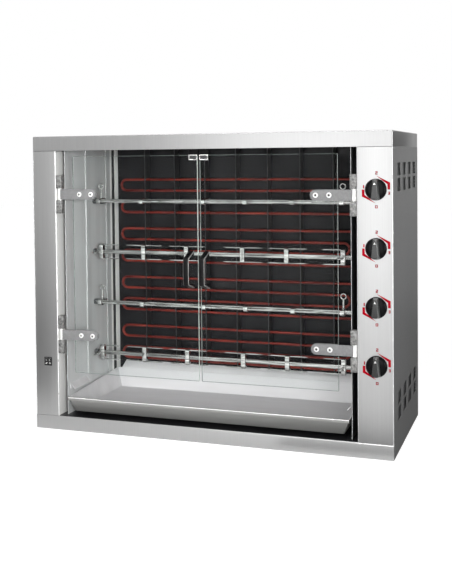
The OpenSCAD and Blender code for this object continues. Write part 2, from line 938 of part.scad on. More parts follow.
// Domed bolts with nuts through each strap, and screws that hold the handle from behind
module door_bolts(side) {
    nut_y = glass_back + strap_t;
    color(steel)
        door_side(side) {
            for (z = hinge_zs)
                for (x = bolt_xs)
                    union() {
                        translate([x, strap_front, z])
                            rotate([90, 0, 0])
                                cylinder(h = bolt_head_h, d1 = bolt_head_d, d2 = bolt_head_d * 0.6);
                        rod_y([x, strap_front, z], nut_y + nut_h - strap_front, bolt_d);
                        rod_y([x, nut_y, z], nut_h, bolt_d * 1.7);
                    }
            for (z = handle_screw_zs)
                union() {
                    rod_y([handle_place, glass_front - handle_screw_grip, z], glass_t + handle_screw_grip,
                          handle_screw_d);
                    rod_y([handle_place, glass_back, z], strap_t, handle_screw_d * 2);
                }
        }
}

// A bow handle bent from a strip: a straight bar, two sloping legs and a foot at the end of each
module door_handle(side) {
    far = -handle_out;
    near = far + handle_t;
    low = -handle_l / 2;
    high = handle_l / 2;
    grade_top = handle_slope_top / handle_out;
    grade_low = handle_slope_low / handle_out;
    top_t = handle_t * sqrt(1 + grade_top * grade_top);
    low_t = handle_t * sqrt(1 + grade_low * grade_low);
    bow = [[0, low], [far, low + handle_slope_low], [far, high - handle_slope_top], [0, high],
           [0, high - handle_foot], [-handle_foot_d, high - handle_foot],
           [-handle_foot_d, high - top_t - grade_top * handle_foot_d],
           [near, high - top_t + grade_top * near], [near, low + low_t - grade_low * near],
           [-handle_foot_d, low + low_t + grade_low * handle_foot_d],
           [-handle_foot_d, low + handle_foot], [0, low + handle_foot]];
    color(black)
        door_side(side)
            difference() {
                translate([handle_place, glass_front, handle_z])
                    slab_x(handle_w, bow);
                for (z = handle_screw_zs)
                    rod_y([handle_place, glass_front - handle_screw_grip - over, z],
                          handle_screw_grip + 2 * over, handle_screw_d + 2 * snug);
            }
}

// A folded steel clip over the top inner corner of a pane, which the magnet holds
module door_catch_plate(side) {
    color(steel)
        door_side(side)
            difference() {
                block([catch_place, glass_front - clip_t, door_top - catch_h + clip_t],
                      [glass_end, glass_back + clip_t, door_top + clip_t]);
                block([catch_place - over, glass_front, door_top - catch_h],
                      [glass_end + over, glass_back, door_top]);
            }
}

// Magnets behind the clips, hung from the ceiling
module door_catches() {
    depth = 12;
    near = glass_back + clip_t + catch_gap;
    color(black)
        for (side = sides)
            door_side(side)
                block([catch_place, near, door_top - catch_h], [glass_end, near + depth, ceiling_z]);
}

// ---------------------------------------------------------------- drip tray

// Eight corners of a pan whose walls lean out: its floor at z, its rim at front and back heights
function pan_points(inset, z, front_z, back_z) = [
    [tray_left + tray_lean + inset, tray_front + tray_lean + inset, z],
    [tray_right - tray_lean - inset, tray_front + tray_lean + inset, z],
    [tray_right - tray_lean - inset, tray_wall_back - tray_lean / 2 - inset, z],
    [tray_left + tray_lean + inset, tray_wall_back - tray_lean / 2 - inset, z],
    [tray_left + inset, tray_front + inset, front_z],
    [tray_right - inset, tray_front + inset, front_z],
    [tray_right - inset, tray_wall_back - inset, back_z],
    [tray_left + inset, tray_wall_back - inset, back_z]];

module pan_solid(inset, z, front_z, back_z) {
    polyhedron(points = pan_points(inset, z, front_z, back_z),
               faces = [[0, 1, 2, 3], [4, 5, 1, 0], [5, 6, 2, 1], [6, 7, 3, 2], [7, 4, 0, 3],
                        [5, 4, 7], [5, 7, 6]]);
}

// The pan, a lip folded down along its front rim, and a flange that slants up behind it
module drip_tray() {
    flange_inset = guide_w;
    flange_mitre = 10;
    mitre = flange_inset + flange_mitre;
    color(steel)
        union() {
            difference() {
                pan_solid(0, tray_z, tray_rim_z, tray_back_z);
                pan_solid(tray_t, tray_z + tray_t, tray_rim_z, tray_back_z);
                translate([0, 0, tray_t])
                    pan_solid(tray_t, tray_z, tray_rim_z, tray_back_z);
            }
            block([tray_left, tray_front - tray_t, tray_rim_z - lip_h],
                  [tray_right, tray_front, tray_rim_z]);
            block([tray_left, tray_front - tray_t, tray_rim_z - tray_t],
                  [tray_right, tray_front + tray_t, tray_rim_z]);
            translate([0, tray_wall_back, tray_back_z])
                intersection() {
                    slab_x(cab_w, [[-tray_t, -tray_t], [0, -tray_t],
                                   [tray_flange, tray_flange_rise - tray_t],
                                   [tray_flange, tray_flange_rise],
                                   [tray_flange - tray_t, tray_flange_rise], [-tray_t, 0]]);
                    linear_extrude(2 * tray_flange_rise, center = true)
                        polygon([[tray_left + flange_inset, -tray_t], [tray_right - flange_inset, -tray_t],
                                 [tray_right - mitre, tray_flange], [tray_left + mitre, tray_flange]]);
                }
        }
}

// Rails on the floor under the tray, and folded guides on the walls above its rim
module tray_rails() {
    guide_y = wall_front + guide_setback;
    color(dark_steel) {
        for (x = [room_left + rail_inset, room_right - rail_inset - rail_w])
            block([x, tray_front + rail_setback, floor_z], [x + rail_w, tray_wall_back, floor_z + rail_h]);
        for (side = [0, 1])
            translate([side == 0 ? room_left : room_right, guide_y, guide_z])
                mirror([side, 0, 0])
                    rotate([-90, 0, 0])
                        linear_extrude(guide_l)
                            polygon([[0, -guide_w], [guide_w, 0], [guide_w, guide_t],
                                     [guide_w - guide_t, guide_t], [guide_t, -guide_w + 2 * guide_t],
                                     [guide_t, guide_t], [0, guide_t]]);
    }
}

// ---------------------------------------------------------------- controls and supply

// A knob: round skirt, tapered body and a raised grip bar, with the spindle in its bore
module knob(i) {
    tip_gap = 0.5;
    spindle_l = knob_bore_l + knob_gap + sheet + selector_t / 2;
    color(black)
        translate([knob_x, front - knob_gap, knob_z(i)])
            rotate([90, 0, 0])
                difference() {
                    union() {
                        cylinder(h = knob_rim_h, d = knob_d);
                        translate([0, 0, knob_rim_h])
                            cylinder(h = skirt_h - knob_rim_h, d1 = knob_d, d2 = knob_d - 2 * knob_taper);
                        intersection() {
                            translate([-grip_w / 2, -knob_d / 2, 0])
                                cube([grip_w, knob_d, knob_h]);
                            cylinder(h = knob_h, d1 = knob_d, d2 = knob_d - 2 * knob_taper);
                        }
                    }
                    translate([0, 0, -over])
                        cylinder(h = knob_bore_l + over, d = spindle_d + 2 * snug);
                }
    color(steel)
        rod_y([knob_x, front - knob_gap - knob_bore_l + tip_gap, knob_z(i)], spindle_l, spindle_d);
}

// Rotary selectors fixed to the back of the control panel
module selector_switches() {
    color(white)
        for (i = spits)
            translate([knob_x, selector_face, knob_z(i)])
                difference() {
                    block([-selector_w / 2, 0, -selector_w / 2],
                          [selector_w / 2, selector_t, selector_w / 2]);
                    rod_y([0, -over, 0], selector_t * 0.8, spindle_d + 2 * running);
                }
}

// The switch body behind the column and its bezel in front, open for two rockers
module rocker_housing() {
    outer_w = rocker_bezel_w - 2 * bezel_lap - 2 * snug;
    outer_h = rocker_bezel_h - 2 * bezel_lap - 2 * snug;
    inner_w = rocker_bezel_w - 2 * bezel_rim;
    inner_h = rocker_bezel_h - 2 * bezel_rim;
    depth = 24;
    pocket = 10;
    color(black)
        translate([rocker_x, front, rocker_z])
            difference() {
                union() {
                    block([-rocker_bezel_w / 2, -bezel_t, -rocker_bezel_h / 2],
                          [rocker_bezel_w / 2, 0, rocker_bezel_h / 2]);
                    block([-outer_w / 2, 0, -outer_h / 2], [outer_w / 2, depth, outer_h / 2]);
                }
                for (x = [-1, 1])
                    translate([x * rocker_step, 0, 0])
                        block([-(inner_w - rocker_gap) / 4, -bezel_t - over, -inner_h / 2],
                              [(inner_w - rocker_gap) / 4, pocket, inner_h / 2]);
                rod_x([-inner_w / 2 - over, 0, 0], inner_w + 2 * over, trunnion_d + 2 * running);
            }
}

// A rocker: two faces at an angle, leaning on its trunnions towards its off side
module rocker(side) {
    tip = rocker_h / 2;
    tip_out = 3.6;
    dip_out = 1.8;
    depth = 5;
    shoulder = 2;
    pin_end = 0.6;
    pin = rocker_w + 2 * (moving + pin_end);
    color(black)
        translate([rocker_x + side * rocker_step, front, rocker_z])
            rotate([rocker_tilt, 0, 0])
                union() {
                    slab_x(rocker_w, [[-tip_out, -tip], [shoulder, -tip + 1], [depth, -tip / 2],
                                      [depth, tip / 2], [shoulder, tip - 1], [-tip_out, tip],
                                      [-dip_out, 0]]);
                    rod_x([-pin / 2, 0, 0], pin, trunnion_d);
                }
}

module motor_rocker() {
    rocker(-1);
}

module mains_rocker() {
    rocker(1);
}

// The supply terminals on the base pan, in the right compartment
module terminal_block() {
    way_w = 14;
    ways = 5;
    depth = 30;
    height = 26;
    well_floor = 12;
    setback = 150;
    color(white)
        translate([gland_x - ways * way_w / 2, back - setback, sheet])
            difference() {
                cube([ways * way_w, depth, height]);
                for (k = [0 : ways - 1])
                    translate([(k + 0.5) * way_w, depth / 2, well_floor])
                        cylinder(h = height, d = way_w / 2);
            }
}

// The cable gland in the rear panel, with its nut inside
module cable_gland() {
    flange_l = 10;
    nose_l = 12;
    nose_rim = 1;
    nut_l = 6;
    thread_l = 8;
    color(black)
        translate([gland_x, 0, gland_z])
            difference() {
                union() {
                    rod_y([0, back, 0], flange_l, gland_d);
                    rod_y([0, back + flange_l, 0], nose_l, gland_thread + 2 * nose_rim);
                    rod_y([0, back - sheet - thread_l, 0], sheet + thread_l, gland_thread);
                    rod_y([0, back - sheet - nut_l, 0], nut_l, gland_d);
                }
                rod_y([0, back - sheet - thread_l - over, 0],
                      sheet + thread_l + flange_l + nose_l + 2 * over, gland_bore);
            }
}

// ---------------------------------------------------------------- drawing

top_cap();
base_pan();
left_column();
control_panel();
left_side_panel();
right_side_panel();
vent_baffles();
rear_panel();
left_inner_wall();
right_inner_wall();
chamber_ceiling();
chamber_floor();
rear_reflector();
corner_posts();
element_holders();
element_bushings();
hinge_blocks();
hinge_pins();
tray_rails();
spit_bearings();
gearmotors();
selector_switches();
rocker_housing();
terminal_block();
cable_gland();
door_catches();
panel_screws();
drip_tray();
motor_rocker();
mains_rocker();
for (i = spits) {
    heating_element(i);
    spit_rod(i);
    spit_forks(i);
    drive_claw(i);
    knob(i);
}
for (s = sides) {
    door_glass(s);
    door_hinge_straps(s);
    door_bolts(s);
    door_handle(s);
    door_catch_plate(s);
}
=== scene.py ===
# %% [markdown]
# # An electric skewer grill
# The CAD model holds every size, joint and place. This lesson gives its visible pieces the shape
# that folding, turning, bending and moulding leave on them, and a finish of their own. Lengths are
# millimetres until `piece` writes a mesh in metres. X runs to the right, Y to the back, Z up.

# %% Load the fixed frame
import math
import bpy
import numpy as np
from mathutils import Matrix, Vector


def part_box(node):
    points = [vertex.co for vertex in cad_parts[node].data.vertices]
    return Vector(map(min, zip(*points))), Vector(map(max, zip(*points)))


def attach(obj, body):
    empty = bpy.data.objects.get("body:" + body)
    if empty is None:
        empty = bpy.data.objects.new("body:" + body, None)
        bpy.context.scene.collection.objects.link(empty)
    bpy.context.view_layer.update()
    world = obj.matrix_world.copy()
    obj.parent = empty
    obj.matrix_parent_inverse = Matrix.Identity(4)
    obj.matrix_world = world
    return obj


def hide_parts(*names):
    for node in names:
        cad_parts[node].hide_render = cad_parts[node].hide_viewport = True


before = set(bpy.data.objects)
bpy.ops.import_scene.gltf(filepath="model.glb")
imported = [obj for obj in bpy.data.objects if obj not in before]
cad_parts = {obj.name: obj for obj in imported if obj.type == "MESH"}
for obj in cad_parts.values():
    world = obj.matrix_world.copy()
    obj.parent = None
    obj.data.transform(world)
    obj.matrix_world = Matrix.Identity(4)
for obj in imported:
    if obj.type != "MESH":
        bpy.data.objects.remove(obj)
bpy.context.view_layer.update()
scene = bpy.context.scene
scene.view_settings.view_transform = "Standard"
print("nodes in the frame:", len(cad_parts))

# %% [markdown]
# ## The camera
# The photograph was taken from the right and from below the lid. The camera's place, its three
# angles and the focal length were fitted to the cabinet's corners; the shift only moves the frame.

# %% Camera
image_w, image_h, focal_px = 452, 584, 969.3
centre_px, horizon_px = 205.0, 190.0
place = Vector((0.9554, -2.8785, 0.8296))
yaw, pitch, roll = (math.radians(a) for a in (19.75, -1.896, -0.606))
turns = (yaw, "Z"), (math.pi / 2 + pitch, "X"), (roll, "Z")
lens = bpy.data.cameras.new("camera")
camera = bpy.data.objects.new("camera", lens)
scene.collection.objects.link(camera)
camera.matrix_world = Matrix.Translation(place)
for angle, axis in turns:
    camera.matrix_world = camera.matrix_world @ Matrix.Rotation(angle, 4, axis)
lens.sensor_width = 36
lens.lens = lens.sensor_width * focal_px / image_h
lens.shift_x = (image_w / 2 - centre_px) / image_h
lens.shift_y = -(image_h / 2 - horizon_px) / image_h
scene.camera = camera
print("camera at", [round(v, 3) for v in place], "lens", round(lens.lens, 1), "mm")

# %% [markdown]
# ## Sizes from the frame
# A piece that stands for a CAD node takes its place from that node's box: nothing is fitted.

# %% Read the main sizes
def corners(name):
    """The lowest and the highest corner of a CAD node, in millimetres."""
    low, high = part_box(name)
    return np.array(low) * 1000, np.array(high) * 1000

def centre_of(name):
    """The middle of a CAD node's box, in millimetres."""
    return sum(corners(name)) / 2

(left, front, cap_z), (right, back, top) = corners("top_cap")
base_z = corners("base_pan")[1][2]
gap_left, return_y = corners("left_column")[1][:2]
gap_right = corners("control_panel")[0][0]
sheet = 1.5
bend = 3.0
print("cabinet", right - left, "x", back - front, "x", top, "mm")

# %% [markdown]
# ## Surfaces from rings
# Sheet, turned heads and bent wire all come from one idea: a flat outline, repeated as rings. The
# rings are a grid of points, and the grid's squares are the faces. Modelling by hand would give the
# same forms, but a formula keeps every radius exact and every seam closed.

# %% Outlines
def circle(d, sides=24):
    """Points at equal angles t: (d/2 cos t, d/2 sin t)."""
    t = np.arange(sides) * 2 * np.pi / sides
    return np.c_[np.cos(t), np.sin(t)] * d / 2

def rounded(w, h, r, steps=4):
    """A rectangle w by h about the origin; each corner is a quarter circle of radius r."""
    t = np.arange(4)[:, None] * np.pi / 2 + np.linspace(0, np.pi / 2, steps + 1)
    x = np.array([1, -1, -1, 1])[:, None] * (w / 2 - r) + r * np.cos(t)
    y = np.array([1, 1, -1, -1])[:, None] * (h / 2 - r) + r * np.sin(t)
    return np.c_[x.ravel(), y.ravel()]

def filleted(points, r, steps=5):
    """An open line whose inner corners become arcs of radius r.

    Each arc turns from one tangent point to the other about a centre that lies
    r / sin(half the corner's angle) from the corner."""
    points = np.asarray(points, float)
    line = [points[:1]]
    for a, b, c in zip(points[:-2], points[1:-1], points[2:]):
        u, v = (a - b) / np.linalg.norm(a - b), (c - b) / np.linalg.norm(c - b)
        half = np.arccos(np.clip(u @ v, -1, 1)) / 2
        centre = b + (u + v) / np.linalg.norm(u + v) * r / np.sin(half)
        start, end = b + u * r / np.tan(half) - centre, b + v * r / np.tan(half) - centre
        turn, t = np.pi - 2 * half, np.linspace(0, 1, steps + 1)[:, None]
        arc = (np.sin((1 - t) * turn) * start + np.sin(t * turn) * end) / np.sin(turn)
        line.append(arc + centre)
    return np.concatenate(line + [points[-1:]])

FACING = {"up": ((1, 0, 0), (0, 1, 0), (0, 0, 1)), "front": ((1, 0, 0), (0, 0, 1), (0, -1, 0)),
          "right": ((0, 1, 0), (0, 0, 1), (1, 0, 0)), "back": ((-1, 0, 0), (0, 0, 1), (0, 1, 0))}

def lift(outline, height, at, facing="up"):
    """A flat outline in space: at + x u + y v + height w, along the facing's u, v and w."""
    u, v, w = np.array(FACING[facing] if isinstance(facing, str) else facing, float)
    return np.asarray(at, float) + outline[:, :1] * u + outline[:, 1:] * v + height * w

print("points round a rectangle:", len(rounded(10, 10, 2)))

# %% Rings to faces
def skin(rings, finish=0, closed=False):
    """Rings as (points, faces, finish numbers); finish is one number or one for each outline edge.

    Square (i, j) joins points j and j + 1 of ring i to those of ring i + 1. A flat face shuts each
    end, or closed joins the last ring to the first. If the volume, a third of the sum of place
    times area, is negative, all faces are turned round."""
    rings = np.asarray(rings, float)
    count, length = rings.shape[:2]
    index = np.arange(count * length).reshape(count, length)
    first = index if closed else index[:-1]
    second = np.roll(index, -1, 0) if closed else index[1:]
    quads = np.stack([first, np.roll(first, -1, 1), np.roll(second, -1, 1), second], -1)
    quads = quads.reshape(-1, 4)
    points = rings.reshape(-1, 3)
    near = points - points.mean(0)
    p = near[quads]
    volume = (p.mean(1) * np.cross(p[:, 2] - p[:, 0], p[:, 3] - p[:, 1])).sum() / 6
    faces = quads.tolist()
    marks = [finish] * len(faces)
    if np.ndim(finish):
        marks = list(np.tile(finish, count - (not closed)))
    if not closed:
        for end, way in ((index[0], -1), (index[-1], 1)):
            q = near[end]
            volume += way * q[0] @ np.cross(q, np.roll(q, -1, 0)).sum(0) / 6
            faces.append(end[::way].tolist())
            marks.append(marks[0])
    if volume < 0:
        faces = [face[::-1] for face in faces]
    return points, faces, marks

def stack(layers, at=(0, 0, 0), facing="up", finish=0, closed=False):
    """One ring for each (outline, height)."""
    return skin([lift(outline, height, at, facing) for outline, height in layers], finish, closed)

print("faces of a disc:", len(stack([(circle(10), 0), (circle(10), 1)])[1]))

# %% Plates, blocks and lathe bodies
def edge(thickness, r, steps=3):
    """(inset, height) up a slab's rim: a quarter circle out, a straight, a quarter circle in."""
    t = np.linspace(0, np.pi / 2, steps + 1)
    return [*zip(r * (1 - np.sin(t)), r * (1 - np.cos(t))),
            *zip(r * (1 - np.cos(t)), thickness - r + r * np.sin(t))]

def plate(shape, thickness, r, at, facing="up", finish=0, steps=3):
    """A slab with rounded rims: shape(inset) gives the outline at each height of the rim."""
    return stack([(shape(i), h) for i, h in edge(thickness, r, steps)], at, facing, finish)

def brick(low, high, r=0.6, finish=0):
    """A block between two corners whose twelve edges are rounded by r."""
    low, high = np.array(low, float), np.array(high, float)
    w, d, h = high - low
    return plate(lambda i: rounded(w - 2 * i, d - 2 * i, max(r - i, 0.05), 2), h, r,
                 ((low[0] + high[0]) / 2, (low[1] + high[1]) / 2, low[2]), "up", finish, 2)

def turned(profile, at, facing="up", sides=32, finish=0, closed=False):
    """A lathe body: each (radius, height) of the profile is a circle round the axis."""
    return stack([(circle(2 * r, sides), h) for r, h in profile], at, facing, finish, closed)

print("faces of a rounded block:", len(brick((0, 0, 0), (9, 9, 9))[1]))

# %% Sections along a path
def carried(section, path, side, finish=0):
    """A section carried along a path in one plane.

    Its first axis lies along side, which is square to the plane, and its second along
    side x tangent, widened by 1 / cos(half the turn) in a corner."""
    path, side = np.asarray(path, float), np.asarray(side, float)
    step = np.diff(path, axis=0)
    step /= np.linalg.norm(step, axis=1, keepdims=True)
    before, after = np.vstack([step[:1], step]), np.vstack([step, step[-1:]])
    tangent = (before + after) / np.linalg.norm(before + after, axis=1, keepdims=True)
    second = np.cross(side, tangent) / (tangent * before).sum(1, keepdims=True)
    return skin(path[:, None] + section[:, :1] * side + section[:, 1:] * second[:, None], finish)

print("faces of a straight rod:", len(carried(circle(8), [(0, 0, 0), (9, 0, 0)], (0, 1, 0))[1]))

# %% One mesh for each piece
crease = math.radians(32)

def piece(name, parts, finishes, body, stands_for=()):
    """Joins parts (points, faces, finish numbers) into one mesh in metres, smooth up to the crease,
    and tells the frame which body carries it and the CAD nodes it stands for."""
    starts = np.cumsum([0] + [len(points) for points, _, _ in parts])
    faces = [[i + start for i in face]
             for start, (_, some, _) in zip(starts, parts) for face in some]
    mesh = bpy.data.meshes.new(name)
    mesh.from_pydata(np.concatenate([points for points, _, _ in parts]) / 1000, [], faces)
    for material in finishes:
        mesh.materials.append(material)
    mesh.polygons.foreach_set("material_index", [int(m) for _, _, marks in parts for m in marks])
    mesh.polygons.foreach_set("use_smooth", [True] * len(faces))
    mesh.set_sharp_from_angle(angle=crease)
    made = bpy.data.objects.new(name, mesh)
    scene.collection.objects.link(made)
    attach(made, body)
    if stands_for:
        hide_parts(*stands_for)
    print(name, "-", len(faces), "faces on", body)

print("faces meet in a crease from", round(math.degrees(crease)), "degrees")

# %% [markdown]
# ## Building a finish
# Every finish is a Principled shader with the numbers of the real stuff. A stretched noise moves
# its colour and its gloss: the stretch gives brush lines, rolling marks or mottling. Its grains are
# sized on the object, so a pattern stays when the camera moves.

# %% Nodes and colours
def linear(code):
    """An sRGB hex colour as linear red, green, blue and alpha.

    Each channel v becomes v / 12.92 near black, else ((v + 0.055) / 1.055) to the power 2.4."""
    v = np.array([int(code[i:i + 2], 16) for i in (1, 3, 5)]) / 255
    return (*np.where(v <= 0.04045, v / 12.92, ((v + 0.055) / 1.055) ** 2.4).tolist(), 1.0)

def node(tree, kind, values=None, feeds=None, stops=None, **settings):
    """A shader node with its settings, its sockets' values, its feeds and its colour stops."""
    made = tree.nodes.new("ShaderNode" + kind)
    for key, value in settings.items():
        setattr(made, key, value)
    for key, value in (values or {}).items():
        made.inputs[key].default_value = value
    for key, source in (feeds or {}).items():
        tree.links.new(source, made.inputs[key])
    for spot, (where, code) in zip(made.color_ramp.elements if stops else (), stops or ()):
        spot.position, spot.color = where, linear(code)
    return made

def finish(name, dark, light, metallic, roughness, grain,
           spread=0.05, relief=0, sheen=0.5, detail=3):
    """A material whose colour runs from dark to light, and whose roughness moves by spread, along
    a noise with grains of the given millimetres on X, Y and Z, raised by relief millimetres.
    sheen is the strength of the clear reflection of what isn't metal."""
    material = bpy.data.materials.new(name)
    material.use_nodes = True
    tree = material.node_tree
    shader = tree.nodes["Principled BSDF"]
    shader.inputs["Metallic"].default_value = metallic
    shader.inputs["Specular IOR Level"].default_value = sheen
    spot = node(tree, "TexCoord")
    stretch = node(tree, "Mapping", {"Scale": [1000 / g for g in grain]},
                   {"Vector": spot.outputs["Object"]})
    noise = node(tree, "TexNoise", {"Scale": 1.0, "Detail": detail},
                 {"Vector": stretch.outputs["Vector"]})
    tone = node(tree, "ValToRGB", feeds={"Fac": noise.outputs["Fac"]},
                stops=((0.3, dark), (0.7, light)))
    gloss = node(tree, "MapRange", {"From Min": 0.3, "From Max": 0.7, "To Min": roughness - spread,
                                    "To Max": roughness + spread}, {"Value": noise.outputs["Fac"]})
    tree.links.new(tone.outputs["Color"], shader.inputs["Base Color"])
    tree.links.new(gloss.outputs["Result"], shader.inputs["Roughness"])
    if relief:
        bump = node(tree, "Bump", {"Strength": 1.0, "Distance": relief / 1000},
                    {"Height": noise.outputs["Fac"]})
        tree.links.new(bump.outputs["Normal"], shader.inputs["Normal"])
    print("finish", name)
    return material

def any_ray(tree, *kinds):
    """1 for a ray of one of the given kinds, else 0: the largest of the Light Path's answers."""
    path = node(tree, "LightPath")
    found = path.outputs[f"Is {kinds[0]} Ray"]
    for kind in kinds[1:]:
        found = node(tree, "Math", feeds={0: found, 1: path.outputs[f"Is {kind} Ray"]},
                     operation="MAXIMUM").outputs[0]
    return found

print("half grey is", [round(v, 3) for v in linear("#808080")[:3]])

# %% [markdown]
# ## Steel finishes
# The cabinet is 304 stainless sheet, belt brushed from top to bottom. The chamber has the duller
# finish of the mill, the tray a satin one, and the spits are polished. Real brush lines are 0.1 mm
# wide; here they are 2 mm wide, because finer ones would not show.

# %% Steels
# Belt-brushed stainless: mirrors the room as soft vertical streaks.
brushed = finish("belt_brushed_stainless", "#A0A0A0", "#A6A6A6", 0.92, 0.36, (1.8, 1.8, 260),
                 relief=0.01)
# The same sheet on the lid: its lines run up the skirt and back over the top.
lid_brushed = finish("lid_brushed_stainless", "#999999", "#9F9F9F", 0.92, 0.36, (1.8, 260, 260),
                     relief=0.01)
# A bend's outer radius: a near-white copy of the steel, a painted highlight that shows as a line.
bend_highlight_paint = finish("painted_highlight_bend_steel", "#E0E0E0", "#F0F0F0", 0.5, 0.3, (60, 60, 60))
# Inner face of a folded return: a lighter, duller copy of the steel, painted light as a lit face.
return_painted_light = finish("painted_light_return_steel", "#D2D2D0", "#E0E0DE", 0.1, 0.5, (3, 3, 300), 0.04)
# Cold-rolled mill finish: greyer and more even, with long faint rolling bands.
mill = finish("mill_finish_stainless", "#B8BABA", "#C6C8C8", 0.25, 0.42, (40, 40, 600), 0.04)
# Satin tray steel: bright, wiped smooth, scatters most of its light.
tray_satin = finish("satin_tray_stainless", "#C4C4C5", "#D2D2D3", 0.15, 0.42, (500, 60, 60))
# Outer side of the tray: the same steel, darker, as painted shade.
tray_outside_shade = finish("painted_shade_tray_outside", "#848482", "#929290", 0.5, 0.4, (500, 60, 60))
# Rims, pads, bolt heads and barrels: even and nearly white, a painted highlight.
highlight_white_steel = finish("painted_highlight_stainless", "#ECECEA", "#F4F4F2", 0.1, 0.4, (60, 60, 60), 0.03)
# Polished bar and wire: sharp bright streaks between dark ones.
polished = finish("polished_stainless", "#8E8E8C", "#F4F4F2", 1, 0.15, (60, 5, 5))
# Drawn bar of the spits: greyer, with long bright and dull streaks along it.
drawn_bar = finish("drawn_spit_bar", "#6C6C6A", "#DADAD8", 1, 0.2, (90, 4, 4))
# Straps and bearings, tumbled after cutting: even light grey.
tumbled = finish("tumbled_stainless", "#767677", "#848484", 0.05, 0.6, (4, 4, 4), 0.06, sheen=0.15)
# Zinc and phosphate on the hinge blocks: mottled grey, nearly matt.
phosphated = finish("phosphated_steel", "#4C4C4C", "#9A9A98", 0.5, 0.5, (7, 7, 7), 0.1, 0.05,
                    detail=5)
# Blackened steel of holders, screws and ceiling: a dark, dull gleam. The same dark is painted shade
# on the walls' outer sides, the posts' grooves and the bolts' sockets.
blackened_and_shade = finish("blackened_steel_and_painted_shade", "#303031", "#3E3E3F", 0.4, 0.45, (5, 5, 14), 0.08, 0.02)
# Zinc plate on motor cans and drive claws: an even bluish grey.
motor_can = finish("zinc_plated_can", "#6A6C6E", "#7C7E80", 0.8, 0.4, (8, 3, 3), 0.06)

# %% [markdown]
# ## Coated, moulded and fired finishes
# The side sheets are a darker grey that is painted shade, the reflector behind the heaters is black
# glass enamel, the sleeves are unglazed steatite, and knobs, handles and switches are moulded.

# %% Coatings, plastics and ceramics
# Side sheets: the steel's grey darkened as painted shade, with a fine bumpy skin that spreads the
# highlights.
side_shade_grey = finish("painted_shade_side_grey", "#6A6A6A", "#727272", 0, 0.45, (3, 3, 3), 0.06, 0.03)
# Vitreous enamel: near black and glossy, with the faint waves of the fired coat.
enamel = finish("black_vitreous_enamel", "#1B1B1D", "#252527", 0, 0.16, (50, 50, 220), sheen=0.12)
# Scale on a heater sheath: red-brown oxide, rougher where it is thick.
oxide = finish("oxidised_heater_sheath", "#540E0A", "#8A3024", 0.3, 0.34, (70, 9, 9), 0.1, 0.02,
               detail=4)
# Unglazed steatite: warm white, matt.
steatite = finish("unglazed_steatite", "#DCD6C8", "#E6E0D2", 0, 0.65, (2, 2, 2), relief=0.02)
# White thermoset mouldings: ivory, half matt.
thermoset = finish("white_thermoset_moulding", "#D8D3C6", "#E0DBCF", 0, 0.5, (6, 6, 6))
# Bakelite knobs and magnet cases: glossy black, faintly flowing.
bakelite = finish("polished_black_bakelite", "#060607", "#0B0B0C", 0, 0.16, (12, 12, 12), 0.04,
                  sheen=0.08)
# The grips, buffed by fingers: a greyer sheen.
grip_black = finish("buffed_black_bakelite", "#101111", "#1A1B1A", 0, 0.22, (4, 30, 40))
# One flank of the grip: a light grey, a painted highlight.
grip_flank_highlight = finish("painted_highlight_grip_flank", "#4A4C4B", "#5C5E5D", 0, 0.3, (4, 30, 40))
# Textured nylon of switches and gland: nearly matt.
nylon = finish("textured_black_nylon", "#121213", "#1B1B1C", 0, 0.42, (1.5, 1.5, 1.5), 0.06, 0.03)
# Handle strip, stove enamelled black on its faces.
stoved = finish("black_stoved_strip", "#070708", "#0C0C0D", 0, 0.3, (10, 10, 10), sheen=0.12)
# Its narrow sides: a light grey, a painted highlight.
strip_side_highlight = finish("painted_highlight_strip_side", "#A4A4A2", "#C4C4C2", 0.6, 0.35, (6, 6, 20), 0.08)
# Inks on the panel, the knobs and the rockers: flat and opaque.
red_ink = finish("red_screen_print", "#98001A", "#AC061C", 0, 0.5, (2, 2, 2), 0.04, sheen=0.05)
white_ink = finish("white_pad_print", "#E8E8E6", "#F2F2F0", 0, 0.5, (2, 2, 2), 0.04)

# %% [markdown]
# ## Glass
# The doors are 6 mm toughened float glass. Light passes the faces almost unchanged, while the
# ground edges gather it and look pale green. Lamps that shone through by real refraction would need
# very many samples, so shadow and diffuse rays pass as through an open window. Real glass has an
# index of 1.5; here it is set low, since a studio that is white on all sides would fog the view.

# %% Glass face and edge
glass_face = bpy.data.materials.new("toughened_float_glass")
glass_face.use_nodes = True
tree = glass_face.node_tree
pane = tree.nodes["Principled BSDF"]
for key, value in (("Base Color", linear("#FBFEFD")), ("Roughness", 0.0), ("IOR", 1.09),
                   ("Transmission Weight", 1.0)):
    pane.inputs[key].default_value = value
window = node(tree, "BsdfTransparent")
shown = node(tree, "MixShader", feeds={0: any_ray(tree, "Shadow", "Diffuse"), 1: pane.outputs[0],
                                       2: window.outputs[0]})
tree.links.new(shown.outputs[0], tree.nodes["Material Output"].inputs["Surface"])
# Ground and arrised edge: frosted, pale green.
glass_edge = finish("ground_glass_edge", "#707A76", "#8A9490", 0, 0.3, (4, 4, 4))
# The left pane's inner edge faces the camera through the right pane and catches the light.
glass_bright = finish("lit_glass_edge", "#AEBAB4", "#CCD6D0", 0, 0.3, (4, 4, 4))

# %% [markdown]
# ## Vent mesh
# Behind the vent windows lie dished plates. They look finely woven in the photograph, so their
# finish is a chequer of dark holes and lighter metal.

# %% Vent mesh finish
mesh_pitch = 5.0
vent_mesh = finish("pierced_vent_mesh", "#2E2F30", "#3E3F40", 0.3, 0.5, (4, 4, 4), 0.06)
tree = vent_mesh.node_tree
spot = node(tree, "TexCoord")
grid = node(tree, "TexChecker", {"Scale": 1000 / mesh_pitch, "Color1": linear("#323233"),
                                 "Color2": linear("#747576")}, {"Vector": spot.outputs["Object"]})
tree.links.new(grid.outputs["Color"], tree.nodes["Principled BSDF"].inputs["Base Color"])
print("mesh pitch", mesh_pitch, "mm")

